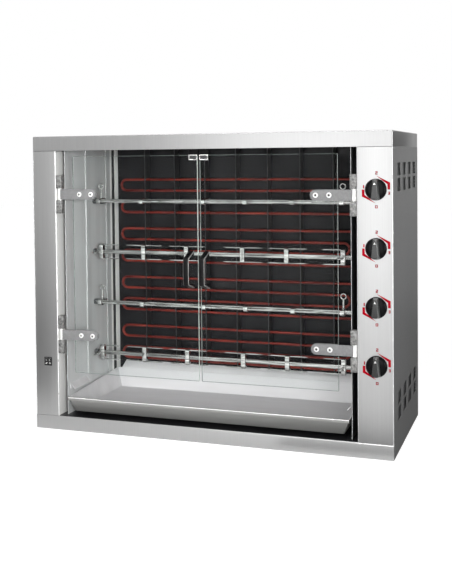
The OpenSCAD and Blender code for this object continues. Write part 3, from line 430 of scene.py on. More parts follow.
# %% [markdown]
# ## The lid
# The lid is one sheet folded down on four sides. A press brake leaves a bend radius about twice the
# sheet, and that radius is what catches the light, so the lid is a closed shell of rings: up the
# inside, round the hem and over the outside, with the plan corners rounded as well.

# %% Lid
t = np.linspace(0, np.pi / 2, 6)
inset, rise = bend * (1 - np.cos(t)), np.sin(t)
outer_bend = [*zip(inset, top - bend + bend * rise)]
inner_bend = [*zip(inset / 2 + sheet, top - bend + (bend - sheet) * rise)]
lid = [(rounded(right - left - 2 * i, back - front - 2 * i, max(bend - i, 0.3)), h)
       for i, h in inner_bend[::-1] + [(sheet, cap_z), (0.0, cap_z)] + outer_bend]
piece("cap_shell", [stack(lid, ((left + right) / 2, (front + back) / 2, 0))], [lid_brushed],
      "cabinet", ["top_cap"])

# %% [markdown]
# ## The base
# Under the doors the bottom pan turns up into a band with a ledge on top, which carries the
# columns. Its section is one bent strip, carried along the front; flat strips close the sides and
# the back. Under the control panel only, the bend carries a painted highlight.

# %% Base pan
def strip(line, t):
    """A closed outline: an open line, then the same line moved by t to its left, turned back."""
    line = np.asarray(line, float)
    step = np.diff(line, axis=0)
    normal = np.c_[-step[:, 1], step[:, 0]] / np.linalg.norm(step, axis=1, keepdims=True)
    before, after = np.vstack([normal[:1], normal]), np.vstack([normal, normal[-1:]])
    shift = (before + after) / (1 + (before * after).sum(1, keepdims=True))
    return np.vstack([line, (line + t * shift)[::-1]])

ledge, flange = 24.0, 30.0
band = strip(filleted([(front, 0), (front, base_z), (front + ledge, base_z)], bend), -sheet)
# The bend's faces get slot 1, a painted highlight; from the left side to the panel they get none.
bend_highlight_marks = [0] + [1] * 5 + [0] * (len(band) - 6)
front_band = stack([(band, left), (band, gap_right), (band, right)], facing="right", finish=bend_highlight_marks)
front_band[2][:len(band)] = [0] * len(band)  # no gleam from the left side to the panel
x0, x1, y0, y1 = left + sheet, right - sheet, front + sheet, back - sheet
pan = [((x0, y0, 0), (x1, y1, sheet)), ((x0, y0, sheet), (x0 + sheet, y1, flange)),
       ((x1 - sheet, y0, sheet), (x1, y1, flange)), ((x0, y1 - sheet, sheet), (x1, y1, flange))]
piece("base_shell", [front_band] + [brick(low, high, 0.4) for low, high in pan],
      [brushed, bend_highlight_paint], "cabinet", ["base_pan"])

# %% [markdown]
# ## The columns
# Left column and control panel are L sections: the face, one bend, and a return that goes back
# beside the hinges. The section is carried straight up and stops a millimetre short of the lid,
# which leaves the dark seam of the real one. The return's flat beside the door is painted light,
# and the bend and the free edge carry a painted highlight.

# %% Columns
reveal = 1.2
soft_edge = [(0, sheet), (0, 1.4), (0.4, 0.4), (1.8, 0)]  # across and back from the free corner

def column(x_from, x_bend):
    """The L section of a column, face first, then the return, carried from the base to the lid."""
    line = filleted([(x_from, front), (x_bend, front), (x_bend, return_y)], bend)
    way = 1 if x_bend > x_from else -1
    soft = [(x_from + across_by * way, front + back_by) for across_by, back_by in soft_edge]
    section = np.vstack([soft, strip(line, sheet * way)[1:-1]])
    marks = np.zeros(len(section), int)
    # The soft edge and the bend's middle carry a painted highlight; the return's flat is painted
    # light.
    marks[[1, 2, 5, 6, 7]] = 2  # the soft edge and the middle of the bend
    marks[len(line) + 1] = 1    # the return's flat
    return stack([(section, base_z), (section, cap_z - reveal)], finish=marks)

piece("left_column_sheet", [column(left, gap_left)], [brushed, return_painted_light, bend_highlight_paint],
      "cabinet", ["left_column"])

# %% [markdown]
# ## Chamber walls
# Each wall is one sheet, bent outwards along its front edge. The left one carries a swage, a raised
# flat band with sloped sides that stiffens it. The sheet's section is stretched upwards. Its outer
# side, seen through the hinge gap, is painted dark as shade.

# %% Chamber walls
flange_w, flange_r, swage_rise, swage_from, swage_w, swage_slope = 1.6, 0.8, 3.0, 157.0, 30.0, 2.5
for side, way in (("left", 1), ("right", -1)):
    low, high = corners(f"{side}_inner_wall")
    face_x = high[0] - swage_rise if side == "left" else low[0]
    line = filleted([(face_x - way * flange_w, low[1]), (face_x, low[1]), (face_x, high[1])],
                    flange_r, 3)
    section = strip(line, way * sheet)
    # The sheet's outer side takes slot 1, painted dark as shade.
    outer_side_shade = [0] * (len(line) - 1) + [1] * (len(line) + 1)
    sheets = [stack([(section, low[2]), (section, high[2])], finish=outer_side_shade)]
    if side == "left":
        z_from = corners("tray_rails")[1][2]
        band_h = high[2] - z_from
        raised = [(rounded(swage_w, band_h, 6, 3), 0),
                  (rounded(swage_w - 2 * swage_slope, band_h - 2 * swage_slope, 4, 3), swage_rise)]
        at = (face_x, front + swage_from + swage_w / 2, z_from + band_h / 2)
        sheets.append(stack(raised, at, "right"))
    piece(f"{side}_wall_sheet", sheets, [mill, blackened_and_shade], "cabinet",
          [f"{side}_inner_wall"])

# %% [markdown]
# ## Corner posts
# Beside the reflector each wall carries a folded post: a low pad, a groove and a higher pad. The
# pads carry a painted highlight, and the groove is painted dark as shade.

# %% Corner posts
low, high = corners("corner_posts")
depth = high[1] - low[1]
folds = [(0, 0), (3, 0), (3, 28), (3, 42), (1.5, 42), (1.5, 66), (4, 66), (4, depth), (0, depth)]
# Slot 1 on the pads is a painted highlight; slot 2 in the groove is painted shade.
fold_highlight_and_shade = [0, 0, 1, 1, 2, 1, 1, 0, 0]
posts = []
for x, way in ((low[0], 1), (high[0], -1)):
    section = np.array([(x + way * rise, low[1] + y) for rise, y in folds])
    posts.append(stack([(section, low[2]), (section, high[2])], finish=fold_highlight_and_shade))
piece("post_pair", posts, [mill, highlight_white_steel, blackened_and_shade], "cabinet",
      ["corner_posts"])

# %% [markdown]
# ## The panel's print
# Round each knob the panel carries two red wedges and a few small figures. A screen print is a film
# of ink, so a wedge is a prism a tenth of a millimetre thick, and a figure is a few bars.

# %% Dial scales
ink, ink_from, stroke = 0.1, 0.02, 2.1
LEFT, RIGHT, LOWER_LEFT, UPPER_RIGHT = (((x, low), (x, high)) for x, low, high in
                                        ((0, 0, 1), (1, 0, 1), (0, 0, 0.5), (1, 0.5, 1)))
BASE, MIDDLE, TOP = (((0, z), (1, z)) for z in (0, 0.5, 1))
FIGURES = {"0": (LEFT, RIGHT, BASE, TOP), "1": (LEFT, RIGHT), "3": (TOP, MIDDLE, BASE, RIGHT),
           "2": (TOP, UPPER_RIGHT, MIDDLE, LOWER_LEFT, BASE)}
# Each figure's place from the knob's middle, its width and its height.
SCALE = (("2", 1.5, 45, 4.2, 7), ("0", 1, -47, 5.2, 6), ("1", -33.5, 7.5, 1.4, 7),
         ("3", 35.5, -9.7, 3.2, 6.4))
wedge = np.array([(0.3, 38.0), (38.5, 19.2), (38.5, 0), (31.4, 0), (31.0, 14.4)])[::-1]

def figure(strokes, w, h, at):
    """A figure on a frame w by h: each stroke is a bar between two points, given as shares of the
    frame, and widened by half a stroke all round."""
    parts = []
    for (xa, za), (xb, zb) in strokes:
        size = np.array([abs(xb - xa) * w + stroke, abs(zb - za) * h + stroke])
        middle = np.array([(xa + xb - 1) / 2 * w, (za + zb - 1) / 2 * h])
        bar = rounded(*size, 0.3, 1) + middle
        parts.append(stack([(bar, ink_from), (bar, ink)], at, "front", 3))
    return parts

panel_parts = [column(right, gap_right)]
for i in range(1, 5):
    x, _, z = centre_of(f"knob_{i}")
    for outline in (wedge, -wedge):
        panel_parts.append(stack([(outline, ink_from), (outline, ink)], (x, front, z), "front", 3))
    for text, dx, dz, w, h in SCALE:
        panel_parts += figure(FIGURES[text], w, h, (x + dx, front, z + dz))
piece("control_panel_sheet", panel_parts, [brushed, return_painted_light, bend_highlight_paint, red_ink],
      "cabinet", ["control_panel"])

# %% [markdown]
# ## Knobs
# A knob is a compression moulding: a turned skirt with a soft rim, and a grip bar that is narrower
# at the pointer's end. The bar's outline at each height is two straight flanks cut off by a circle;
# both draw in towards the top, as they must to leave the mould. A white triangle marks the pointer.

# %% Knobs
knob_clear = 0.8
skirt = [(28.7, 0), (29.5, 0.8), (29.5, 3.4), (29.1, 4.4), (28.0, 5.2), (26.6, 8.4), (25.7, 10.2),
         (24.4, 11), (12, 11.2)]
grip_r, grip_half, grip_flare, grip_top, flank_points = 28.2, 10.2, 5.5 / 54, 25.0, 15
grip_rim = [(0.0, 9.0), (0.9, 16.0), (1.7, 22.4), (2.2, 24.2), (3.2, 24.9), (4.4, grip_top)]
# One flank carries a painted highlight; the rest of the grip is buffed black.
grip_finishes_and_highlight = [3] + [4] * (flank_points - 2) + [3] * (flank_points + 1)
pointer, pointer_up = np.array([(-3.15, -3.15), (3.15, -3.15), (0, 3.15)]), 17.0

def grip(inset):
    """The bar's outline: at each y the half width is the lesser of flank and chord.

    The flank widens downwards by grip_flare; the chord is that of the circle with radius r."""
    r = grip_r - inset
    y = r * np.sin(np.linspace(-np.pi / 2, np.pi / 2, flank_points))
    chord = np.sqrt(np.maximum(r * r - y * y, 0)) + 0.05
    half = np.minimum(grip_half - inset - grip_flare * y, chord)
    return np.vstack([np.c_[half, y], np.c_[-half, y][::-1]])

for i in range(1, 5):
    x, _, z = centre_of(f"knob_{i}")
    y = front - knob_clear
    spindle_l = corners(f"knob_{i}")[1][1] - y - 1
    knob = [turned(skirt, (x, y, z), "front", 64),
            stack([(grip(inset), h) for inset, h in grip_rim], (x, y, z), "front", grip_finishes_and_highlight),
            stack([(pointer, grip_top - 0.5), (pointer, grip_top + 0.15)], (x, y, z + pointer_up),
                  "front", 1),
            turned([(2.5, 0), (3, 0.5), (3, spindle_l)], (x, y + 1, z), "back", 20, 2)]
    piece(f"selector_knob_{i}", knob, [bakelite, white_ink, polished, grip_black, grip_flank_highlight],
          f"dial_{i}", [f"knob_{i}"])

# %% [markdown]
# ## Heating elements
# Each element is a sheathed rod, 8 mm thick, bent into a W. The path is straight runs joined by
# half circles, and a circle is carried along it, so the bends keep the tube's full width.

# %% Heating elements
tube, run_pitch, inner_reach = 8.0, 36.5, 125.75

def half_turn(x, y, z, side):
    """Half a circle about (x, z) from its top to its bottom, bulging to the given side."""
    t, r = np.linspace(0, np.pi, 17), run_pitch / 2
    return np.c_[x + side * np.sin(t) * r, np.full(17, y), z + np.cos(t) * r]

for i in range(1, 5):
    low, high = corners(f"heating_element_{i}")
    _, y, z = centre_of(f"heating_element_{i}")
    x_bend = low[0] + tube / 2 + run_pitch / 2
    path = np.vstack([[(high[0], y, z + 1.5 * run_pitch)], half_turn(x_bend, y, z + run_pitch, -1),
                      half_turn(high[0] - inner_reach, y, z, 1),
                      half_turn(x_bend, y, z - run_pitch, -1), [(high[0], y, z - 1.5 * run_pitch)]])
    piece(f"heater_rod_{i}", [carried(circle(tube, 16), path, (0, 1, 0))], [oxide],
          "cabinet", [f"heating_element_{i}"])

# %% [markdown]
# ## Hinges
# The fixed blocks are sawn bar with tumbled edges. Each strap is a plate with one round end; its
# other end wraps the pin as a barrel. A second plate clamps the glass from behind.

# %% Hinge blocks
block_w, block_near, block_far = 19.0, 18.0, 58.0
pivots = {"left": (gap_left + block_w / 2, 1), "right": (gap_right - block_w / 2, -1)}
low, high = corners("hinge_blocks")
hinge_zs = [low[2] + block_far, high[2] - block_far]
blocks = [brick((x - block_w / 2, low[1], z + z_from), (x + block_w / 2, high[1], z + z_to), 1.1)
          for x, _ in pivots.values() for z in hinge_zs
          for z_from, z_to in ((-block_far, -block_near), (block_near, block_far))]
piece("hinge_block_bars", blocks, [phosphated], "cabinet", ["hinge_blocks"])

# %% Hinge straps
strap_l, strap_w, strap_t, strap_proud, clamp_from = 122.0, 31.0, 3.0, 0.5, 48.0
barrel_r = 7.0
barrel = [(4.1, 0.3), (6.4, 0), (barrel_r, 0.6), (barrel_r, 33.4), (6.4, 34), (4.1, 33.7)]

def tongue(start, inset):
    """A strap's outline from start to its round end, along +X, drawn in by inset."""
    r = strap_w / 2 - inset
    t = np.linspace(-np.pi / 2, np.pi / 2, 15)
    end = np.c_[strap_l - strap_w / 2 + r * np.cos(t), r * np.sin(t)]
    return np.vstack([[(start + inset, -r)], end, [(start + inset, r)]])

for side, (x, way) in pivots.items():
    low, high = corners(f"{side}_door_hinge_straps")
    away = ((way, 0, 0), (0, 0, 1), (0, -1, 0))
    parts = []
    for z in hinge_zs:
        at = (x, low[1] + strap_proud + strap_t, z)
        parts += [plate(lambda i: tongue(0, i), strap_t, 0.9, at, away),
                  plate(lambda i: tongue(clamp_from, i), strap_t, 0.5, (x, high[1], z), away, 0, 2),
                  turned(barrel, (x, low[1] + barrel_r, z - strap_w / 2 - 1.5), "up", 32, 1, True)]
    piece(f"{side}_strap_pair", parts, [tumbled, highlight_white_steel], f"{side}_door",
          [f"{side}_door_hinge_straps"])

# %% [markdown]
# ## Bolts
# Button-head bolts hold the glass between the plates. A lathe profile gives the dome, painted
# nearly white as a highlight, and a hexagonal socket sinks into it, painted dark as shade. Nuts sit
# behind, and two small screws hold the handle.

# %% Bolts
bolt_reaches, shank_r, nut_h, foot_middle = (68.0, 106.0), 3.9, 4.0, 8.0
dome = [(7.0, 0), (7.5, 0.5), (7.4, 1.3), (6.8, 2.4), (5.7, 3.3), (4.6, 3.85), (4.0, 3.95),
        (3.6, 3.8), (3.4, 1.6)]
# The socket's faces take slot 1, painted dark as shade.
socket = [(shank_r, 1.2), (shank_r, 1.7)]
nut = [(6.2, 0), (6.8, 0.4), (6.8, 3.6), (6.2, nut_h)]
pan_head = [(4.7, 0), (5.0, 0.6), (4.7, 2.0), (3.6, 2.8), (2.0, 3.0)]
handle_screw = [(2.4, 0), (2.4, 11)]
for side, (x, way) in pivots.items():
    strap_face = corners(f"{side}_door_hinge_straps")[0][1] + strap_proud
    rear = corners(f"{side}_door_bolts")[1][1]
    shank = [(shank_r, 0), (shank_r, rear - strap_face - 0.5)]
    parts = []
    for z in hinge_zs:
        for reach in bolt_reaches:
            at = (x + way * reach, strap_face, z)
            parts += [turned(dome, at, "front", 32), turned(shank, at, "back", 20),
                      turned(socket, at, "front", 6, 1),
                      turned(nut, (at[0], rear - nut_h, z), "back", 6)]
    low, high = corners(f"{side}_door_handle")
    for z in (low[2] + foot_middle, high[2] - foot_middle):
        at = ((low[0] + high[0]) / 2, corners(f"{side}_door_glass")[1][1], z)
        parts += [turned(pan_head, at, "back", 24), turned(handle_screw, at, "front", 16)]
    piece(f"{side}_bolt_set", parts, [highlight_white_steel, blackened_and_shade], f"{side}_door",
          [f"{side}_door_bolts"])

# %% [markdown]
# ## Glass doors
# A pane is a slab whose rim is arrised: a small bevel all round, so that it doesn't cut. Faces and
# rim get different finishes, because they look so different.

# %% Glass panes
arris, pane_r = 0.8, 3.0
for side in pivots:
    low, high = corners(f"{side}_door_glass")
    w, depth, h = high - low
    layers = [(rounded(w - 2 * i, h - 2 * i, pane_r - i), d) for i, d in
              ((arris, 0), (0, arris), (0, depth - arris), (arris, depth))]
    x, _, z = centre_of(f"{side}_door_glass")
    points, faces, marks = stack(layers, (x, high[1], z), "front", 1)
    if side == "left":
        marks = [2 if points[face, 0].min() > high[0] - 1 else 1 for face in faces]
    marks[-2:] = [0, 0]
    piece(f"{side}_pane", [(points, faces, marks)], [glass_face, glass_edge, glass_bright],
          f"{side}_door", [f"{side}_door_glass"])

# %% [markdown]
# ## Catch clips
# A folded steel clip sits over the top inner corner of each pane, where a magnet holds the door. It
# has plates before, behind and over the glass. The front one is dished: a dark field in a bright
# rim.

# %% Catch clips
clip_t = 1.5
dish = [(0, 1.0, 0), (0, 1.0, clip_t - 0.3), (0.6, 0.8, clip_t), (4, 0.8, clip_t),
        (5, 0.8, clip_t - 0.5)]  # smaller by, corner radius, height
for side in pivots:
    low, high = corners(f"{side}_door_catch_plate")
    w, _, h = high - low
    x, _, z = centre_of(f"{side}_door_catch_plate")
    front_plate = stack([(rounded(w - less, h - less, r, 2), rise) for less, r, rise in dish],
                        (x, low[1] + clip_t, z), "front")
    front_plate[2][-1] = 1
    over_from = (low[0], low[1] + clip_t, high[2] - clip_t + 0.1)
    clip_parts = [front_plate, brick((low[0], high[1] - clip_t, low[2]), high, 0.3),
                  brick(over_from, (high[0], high[1] - clip_t, high[2]), 0.2)]
    piece(f"{side}_catch_clip", clip_parts, [polished, blackened_and_shade], f"{side}_door",
          [f"{side}_door_catch_plate"])

# %% [markdown]
# ## Handles
# Each handle is a flat strip bent into a bow: the upper leg slopes down to the grip and the lower
# leg rises to it. Its narrow sides are painted light grey as a highlight.

# %% Handles
strip_t, strip_r, slope_top, slope_low, bow_r = 4.0, 0.6, 18.0, 14.0, 5.0
foot_w, foot_d, foot_h, foot_low, foot_high = 15.6, 8.0, 13.0, 2.4, 15.4
for side in pivots:
    low, high = corners(f"{side}_door_handle")
    width, out, _ = high - low
    x, half = (low[0] + high[0]) / 2, strip_t / 2
    over, under = (half * math.hypot(1, slope / out) for slope in (slope_top, slope_low))
    line = [(x, high[1], high[2] - over), (x, low[1] + half, high[2] - slope_top - half),
            (x, low[1] + half, low[2] + slope_low + half), (x, high[1], low[2] + under)]
    section = rounded(width, strip_t, strip_r, 2)
    # An edge is narrow, and carries the painted highlight, where both its ends lie at the strip's
    # side.
    marks = (np.abs(section[:, 0] + np.roll(section, -1, 0)[:, 0]) > width - 1.2).astype(int)
    feet = [brick((x - foot_w / 2, high[1] - foot_d, z), (x + foot_w / 2, high[1], z + foot_h), 1.0)
            for z in (low[2] + foot_low, high[2] - foot_high)]
    piece(f"{side}_bow_handle", [carried(section, filleted(line, bow_r), (1, 0, 0), marks)] + feet,
          [stoved, strip_side_highlight], f"{side}_door", [f"{side}_door_handle"])

# %% [markdown]
# ## Spits
# A spit is a square bar. At the drive end it is flattened to a blade that drops into the claw, and
# at the other end it is turned down to a round journal. All three sections have the same number of
# points, so one skin can pass from one to the next.

# %% Spit rods
bar, blade_l, journal_l = 12.0, 7.4, 31.0
tip, blade, square = rounded(bar - 2, 4.4, 0.4), rounded(bar, 6, 0.8), rounded(bar, bar, 1.0)
journal, journal_end = rounded(10, 10, 4.98), rounded(8, 8, 3.98)
for i in range(1, 5):
    (x_from, _, _), (x_to, _, _) = corners(f"spit_rod_{i}")
    journal_from = x_to - journal_l
    layers = [(tip, x_from), (blade, x_from + 1), (blade, x_from + blade_l),
              (square, x_from + blade_l + 1), (square, journal_from - 0.6),
              (journal, journal_from + 0.4), (journal, x_to - 1), (journal_end, x_to)]
    _, y, z = centre_of(f"spit_rod_{i}")
    piece(f"spit_bar_{i}", [stack(layers, (0, y, z), "right")], [drawn_bar], f"spit_{i}",
          [f"spit_rod_{i}"])

# %% [markdown]
# ## Forks
# A fork is a hub that slides on the bar and two pointed wires. The end forks are locked with thumb
# screws whose heads are rings of wire. Two spits lie with their forks flat and two on edge, so the
# second pair is the first turned a quarter about the bar.

# %% Forks and thumb screws
hub_w, hub_l, hub_t, hub_r = 14.0, 50.0, 18.0, 7.0
prong_y, prong_r, prong_l, prong_sunk = 22.0, 2.0, 56.0, 2.0
# Shares of the way from the first fork to the last, for odd and even spits.
shares = {1: (0.187, 0.45, 0.622, 0.81), 0: (0.187, 0.372, 0.605, 0.782)}
ring_out, ring_r, ring_wire = 47.0, 8.0, 4.0
screw = [(3, 6.2), (3, 10), (4.2, 10.4), (4.2, 13), (3, 13.6), (3, ring_out - ring_r)]

def hub(n):
    """A hub's outline, drawn in by n."""
    return rounded(hub_l - 2 * n, hub_t - 2 * n, hub_r - n, 5)

def prong(x_from, x_to, y):
    """A wire along X that narrows to a point at each free end."""
    taper = [(0.3, 0), (1.1, 4), (prong_r, 11)]
    ends = [(r, x_from + x) for r, x in taper] + [(r, x_to - x) for r, x in taper[::-1]]
    return stack([(circle(2 * r, 12), x) for r, x in ends], (0, y, 0), "right")

def thumb_screw(x):
    """A collar, a shank and a ring of wire above them, standing along +Z."""
    t = np.linspace(0, 2 * np.pi, 33)[:-1]
    outward = np.c_[np.cos(t), np.zeros(32), np.sin(t)]
    rim = (x, 0, ring_out) + ring_r * outward
    wire = circle(ring_wire, 12)
    rings = rim[:, None] + wire[:, :1] * outward[:, None] + wire[:, 1:] * np.array([0, 1.0, 0])
    return [skin(rings, 0, True), turned(screw, (x, 0, 0), "up", 20)]

for i in range(1, 5):
    (x_from, _, _), (x_to, _, _) = corners(f"spit_forks_{i}")
    x_first, x_last = x_from + hub_w / 2, x_to - hub_w / 2
    parts = []
    for x in [x_first, *(x_first + (x_last - x_first) * s for s in shares[i % 2]), x_last]:
        ahead_l, behind_l = (prong_l if free else -prong_sunk for free in (x < x_last, x > x_first))
        parts.append(plate(hub, hub_w, 1.6, (x - hub_w / 2, 0, 0), "right"))
        parts += [prong(x - hub_w / 2 - behind_l, x + hub_w / 2 + ahead_l, y)
                  for y in (-prong_y, prong_y)]
    parts += thumb_screw(x_first) + thumb_screw(x_last)
    turn = np.array([[1, 0, 0], [0, 0, 1], [0, -1, 0]] if i % 2 == 0 else np.eye(3), float)
    axis = centre_of(f"spit_rod_{i}") * (0, 1, 1)
    parts = [(points @ turn + axis, faces, marks) for points, faces, marks in parts]
    piece(f"fork_set_{i}", parts, [polished], f"spit_{i}", [f"spit_forks_{i}"])

# %% [markdown]
# ## Drip tray
# The drawer of this grill: a pan whose walls lean out, higher at the back, with a hem folded over
# the front rim and a flange that slants up to the reflector. Its rings are rounded rectangles that
# grow from the floor to the rim, where the height rises from front to back.

# %% Drip tray
low, high = corners("drip_tray")
lean, gauge, rim_front, rim_back, flange_d, flange_h = 17.0, 1.5, 45.0, 64.0, 16.0, 24.0
x0, x1, y0, y1 = low[0], high[0], low[1] + gauge, high[1] - flange_d

def pan_ring(rise, inset, lift_by, corner):
    """The pan's outline at a share of its height, drawn in by inset.

    The walls lean in by lean * (1 - rise), the back one by half of that."""
    slack = lean * (1 - rise) + inset
    back_slack = lean / 2 * (1 - rise) + inset
    w, d = x1 - x0 - 2 * slack, y1 - y0 - slack - back_slack
    ring = rounded(w, d, corner, 5) + ((x0 + x1) / 2, y0 + slack + d / 2)
    share = np.clip((ring[:, 1] - y0) / (y1 - y0), 0, 1)
    height = low[2] + lift_by + rise * (rim_front + (rim_back - rim_front) * share)
    return np.c_[ring, height]

# From the middle of the floor up the inside, over the rim and down the outside.
pan_inside = [(0, 12, gauge, 2), (0, 3.4, gauge, 2), (0.01, 2.2, gauge + 0.2, 2.4),
              (0.05, 1.7, 0.9, 2.4)]
pan_rim = [(1, 1.5, 0, 2.4), (1, 0.8, 0, 2), (1, 0, -0.8, 2)]
pan_outside = [(0.05, 0, 0, 3), (0.01, 0.5, 0.1, 3), (0, 2, 0, 3), (0, 12, 0, 3)]
rings = [pan_ring(*step) for step in pan_inside + pan_rim + pan_outside]
points, faces, marks = skin(rings)
edge_count = len(rings[0])
# The rim's rings carry a painted highlight, and the outside is painted darker as shade.
marks[4 * edge_count:6 * edge_count] = [2] * (2 * edge_count)
marks[6 * edge_count:] = [1] * (len(marks) - 6 * edge_count)
marks[-2] = 0  # the floor's inner side
hem_z = low[2] + rim_front
# The hem is painted darker as shade, and its roll carries a painted highlight.
hem = strip(filleted([(y0 + 8, hem_z), (y0 - gauge, hem_z), (y0 - gauge, hem_z - 8)], 1.6, 4),
            gauge * 0.9)
hem_roll = brick((x0 + 0.1, y0 - 2.3, hem_z + gauge / 2 - 2.4),
                 (x1 - 0.1, y0 + 0.4, hem_z + gauge / 2 + 0.05), 0.4, 2)
length = math.hypot(flange_d, flange_h)
slope = np.array([0, flange_d, flange_h]) / length
slant = ((1, 0, 0), slope, np.cross((1, 0, 0), slope))
flange_face = np.array([(x0 + 16, 0), (x1 - 16, 0), (x1 - 26, length), (x0 + 26, length)])
tray_parts = [(points, faces, marks), stack([(hem, x0), (hem, x1)], facing="right", finish=1),
              hem_roll,
              stack([(flange_face, -gauge), (flange_face, 0)], (0, y1, low[2] + rim_back), slant)]
piece("tray_pan", tray_parts, [tray_satin, tray_outside_shade, highlight_white_steel], "tray",
      ["drip_tray"])

# %% [markdown]
# ## Back and small fittings
# The back panel's screws are pan heads, and the supply lead enters through a nylon gland: a
# hexagonal nut, a stem and a domed cap with the opening for the lead.

# %% Rear screws and gland
low, high = corners("panel_screws")
head_r, middle_screw_x = 4.5, -22.0
screw = [(4.3, 0), (head_r, 0.4), (4.2, 1.6), (3.4, 2.5), (2.2, 3.0), (1.6, 2.9), (1.5, 1.6)]
heads = [turned(screw, (x, back, z), "back", 24)
         for x in (low[0] + head_r, middle_screw_x, high[0] - head_r)
         for z in (low[2] + head_r, high[2] - head_r)]
piece("rear_screws", heads, [blackened_and_shade], "cabinet", ["panel_screws"])
low, high = corners("cable_gland")
x, _, z = centre_of("cable_gland")
depth, lead_r = high[1] - low[1], 6.5
inner_nut = [(10, 0), (13.4, 0), (15, 1.2), (15, 6.8), (13.4, 8), (10, 8)]
stem = [(lead_r, 0.5), (9.9, 0.5), (9.9, 9), (10, 9.6), (lead_r, 9.6)]
dome_nut = [(lead_r, 9.5), (13.6, 9.5), (15, 10.8), (15, 19), (13.8, 20.4), (12.8, 24),
            (10.6, 28.6), (8.4, depth), (lead_r, depth)]
rounds = [turned(profile, (x, low[1], z), "back", sides, 0, True)
          for profile, sides in ((inner_nut, 6), (stem, 24), (dome_nut, 24))]
piece("supply_gland", rounds, [nylon], "cabinet", ["cable_gland"])

# %% [markdown]
# ## Marks on the rockers
# Each rocker carries a bar on its upper half and a ring on its lower half, for on and off. They
# lie on faces that lean with the rocker, so their frame is turned by the same angle.

# %% Rocker marks
rock, dish_in, half_h, face_out, sunk, proud = math.radians(10), 1.8, 10.1, 2.7, -0.2, 0.12
bar_mark, ring_mark = rounded(1.5, 5.6, 0.5, 2), circle(4.6, 16)
for name, body in (("motor_rocker", "motor_switch"), ("mains_rocker", "mains_switch")):
    x, _, z = centre_of(name)
    parts = []
    for half, outline in ((1, bar_mark), (-1, ring_mark)):
        lean_by = rock + half * math.atan2(dish_in, half_h)
        leaning = ((1, 0, 0), (0, -math.sin(lean_by), math.cos(lean_by)),
                   (0, -math.cos(lean_by), -math.sin(lean_by)))
        up = half * half_h / 2
        seat = (x, front - face_out * math.cos(rock) - up * math.sin(rock),
                z - face_out * math.sin(rock) + up * math.cos(rock))
        layers = [(outline, sunk), (outline, proud)]
        if half < 0:
            layers += [(outline * 0.6, proud), (outline * 0.6, sunk)]
        parts.append(stack(layers, seat, leaning, 0, half < 0))
    piece(f"{name}_marks", parts, [white_ink], body)

# %% [markdown]
# ## Finishes for the pieces that stay as CAD made them
# Flat sheets, posts, plates and blocks already have their real shape. They only need a finish.

# %% Dress the CAD nodes
dress = ((side_shade_grey, "left_side_panel right_side_panel"), (vent_mesh, "vent_baffles"),
         (brushed, "rear_panel"), (blackened_and_shade, "chamber_ceiling element_holders"),
         (enamel, "chamber_floor rear_reflector"), (steatite, "element_bushings"),
         (polished, "hinge_pins"), (tray_satin, "tray_rails"), (tumbled, "spit_bearings"),
         (thermoset, "selector_switches terminal_block"), (bakelite, "door_catches"),
         (nylon, "rocker_housing motor_rocker mains_rocker"),
         (motor_can, "gearmotors drive_claw_1 drive_claw_2 drive_claw_3 drive_claw_4"))
for material, names in dress:
    for name in names.split():
        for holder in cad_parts[name].material_slots:
            holder.material = material
    print(material.name, "on", names)

# %% [markdown]
# ## Floor and light
# A catalogue picture is white all round and has one large soft light in front. The floor and the
# world look white to the camera, in reflections and through glass, but they scatter less light on
# the object, so that the steel keeps its tones.

# %% World
world = bpy.data.worlds.new("studio")
scene.world = world
world.use_nodes = True
tree = world.node_tree
backdrop = tree.nodes["Background"]
backdrop.inputs["Color"].default_value = linear("#FFFFFF")
looked_at = ("Camera", "Glossy", "Transmission")
strength = node(tree, "MapRange", {"To Min": 0.5, "To Max": 1.0},
                {"Value": any_ray(tree, *looked_at)})
tree.links.new(strength.outputs["Result"], backdrop.inputs["Strength"])
print("world is white to the eye and half as strong as a lamp")

# %% Floor
def studio_sheet(name, low, high, material, unseen_by=()):
    """A flat rectangle between two corners in metres, which is no part of the grill."""
    (x0, y0, z0), (x1, y1, z1) = low, high
    mesh = bpy.data.meshes.new(name)
    mesh.from_pydata([(x0, y0, z0), (x1, y0, z0), (x1, y1, z1), (x0, y1, z1)], [], [(0, 1, 2, 3)])
    mesh.materials.append(material)
    made = bpy.data.objects.new(name, mesh)
    scene.collection.objects.link(made)
    for rays in unseen_by:
        setattr(made, "visible_" + rays, False)
    print(name, "from", low, "to", high)

paper = bpy.data.materials.new("white_paper_floor")
paper.use_nodes = True
tree = paper.node_tree
tree.nodes.remove(tree.nodes["Principled BSDF"])
matt = node(tree, "BsdfDiffuse", {"Color": linear("#BCBCBC")})
glow = node(tree, "MapRange", {"To Min": 0.0, "To Max": 0.75}, {"Value": any_ray(tree, *looked_at)})
white = node(tree, "Emission", {"Color": linear("#FFFFFF")}, {"Strength": glow.outputs["Result"]})
both = node(tree, "AddShader", feeds={0: matt.outputs[0], 1: white.outputs[0]})
tree.links.new(both.outputs[0], tree.nodes["Material Output"].inputs["Surface"])
studio_sheet("floor", (-12, -12, -0.001), (12, 12, -0.001), paper)

# %% [markdown]
# ## Lamps
# The softbox lights everything. Three gridded lamps reach only matt surfaces: the chamber's left
# wall, the tray and the upper right side. Two strips show only in gloss, as the bright rims of
# bends and bars.

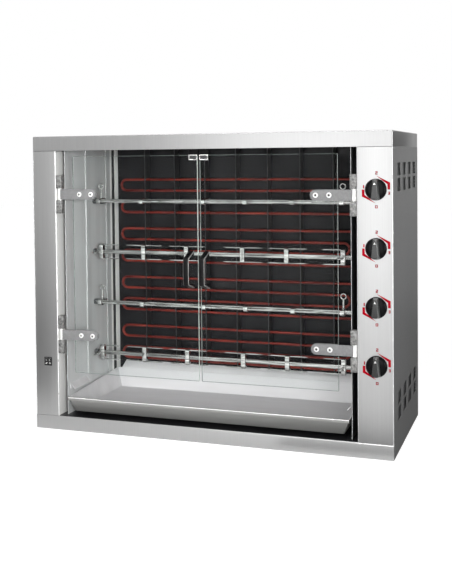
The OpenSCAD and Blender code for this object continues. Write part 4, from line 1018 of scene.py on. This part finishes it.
# %% Lamps
def softbox(name, at, aim, w, h, radiance, spread=180, on_gloss=True, on_matt=True):
    """A rectangular lamp at one point, facing another.

    Its power is radiance times pi times its area, and a grid of the given spread keeps its light to
    a cone. It lights gloss, matt surfaces or both."""
    lamp = bpy.data.lights.new(name, "AREA")
    lamp.shape, lamp.size, lamp.size_y = "RECTANGLE", w, h
    lamp.energy = radiance * math.pi * w * h
    lamp.spread = math.radians(spread)
    holder = bpy.data.objects.new(name, lamp)
    scene.collection.objects.link(holder)
    turn = (Vector(aim) - Vector(at)).to_track_quat("-Z", "Y")
    holder.matrix_world = Matrix.Translation(at) @ turn.to_matrix().to_4x4()
    holder.visible_camera = holder.visible_transmission = False
    holder.visible_glossy, holder.visible_diffuse = on_gloss, on_matt
    print(name, round(lamp.energy), "W")

softbox("front_softbox", (0.15, -3.2, 1.1), (0.15, 0, 1.1), 2.3, 2.7, 2.4)
softbox("gridded_side_lamp", (1.6, -3.0, 0.85), (-0.43, 0, 0.55), 0.8, 0.8, 2.9, 40, on_gloss=False)
softbox("gridded_top_lamp", (0, -1.9, 2.3), (0, 0, 0.1), 0.9, 0.5, 1.0, 50, on_gloss=False)
softbox("side_wash", (1.5, 0.35, 1.7), (0.5, 0.05, 0.78), 0.4, 0.4, 3.2, 60, on_gloss=False)
softbox("right_rim_strip", (3.0, -0.9, 0.6), (0.5, -0.25, 0.4), 0.8, 1.6, 14.0, on_matt=False)
softbox("top_rim_strip", (0, -0.9, 3.2), (0, -0.25, 0.1), 2.4, 0.7, 10.0, on_matt=False)

# %% [markdown]
# ## Dark cards
# In the photograph the right side and the feet of both columns mirror something dark. Studios do
# this with black felt cards that stand outside the picture. Only reflections see them here.

# %% Felt cards
felt = finish("black_felt_card", "#0A0A0A", "#101010", 0, 0.9, (5, 5, 5))
for name, low, high in (("card_behind", (0.9, 2.6, 0), (4.5, 2.6, 1.28)),
                        ("card_on_floor_right", (0.53, -0.25, 0), (4.5, 2.6, 0)),
                        ("card_on_floor_left", (-3.2, -3.2, 0), (-0.72, -0.55, 0)),
                        ("card_before_panel", (0.2, -0.5, 0), (0.8, -0.3, 0))):
    studio_sheet(name, low, high, felt, ("camera", "transmission", "shadow", "diffuse"))
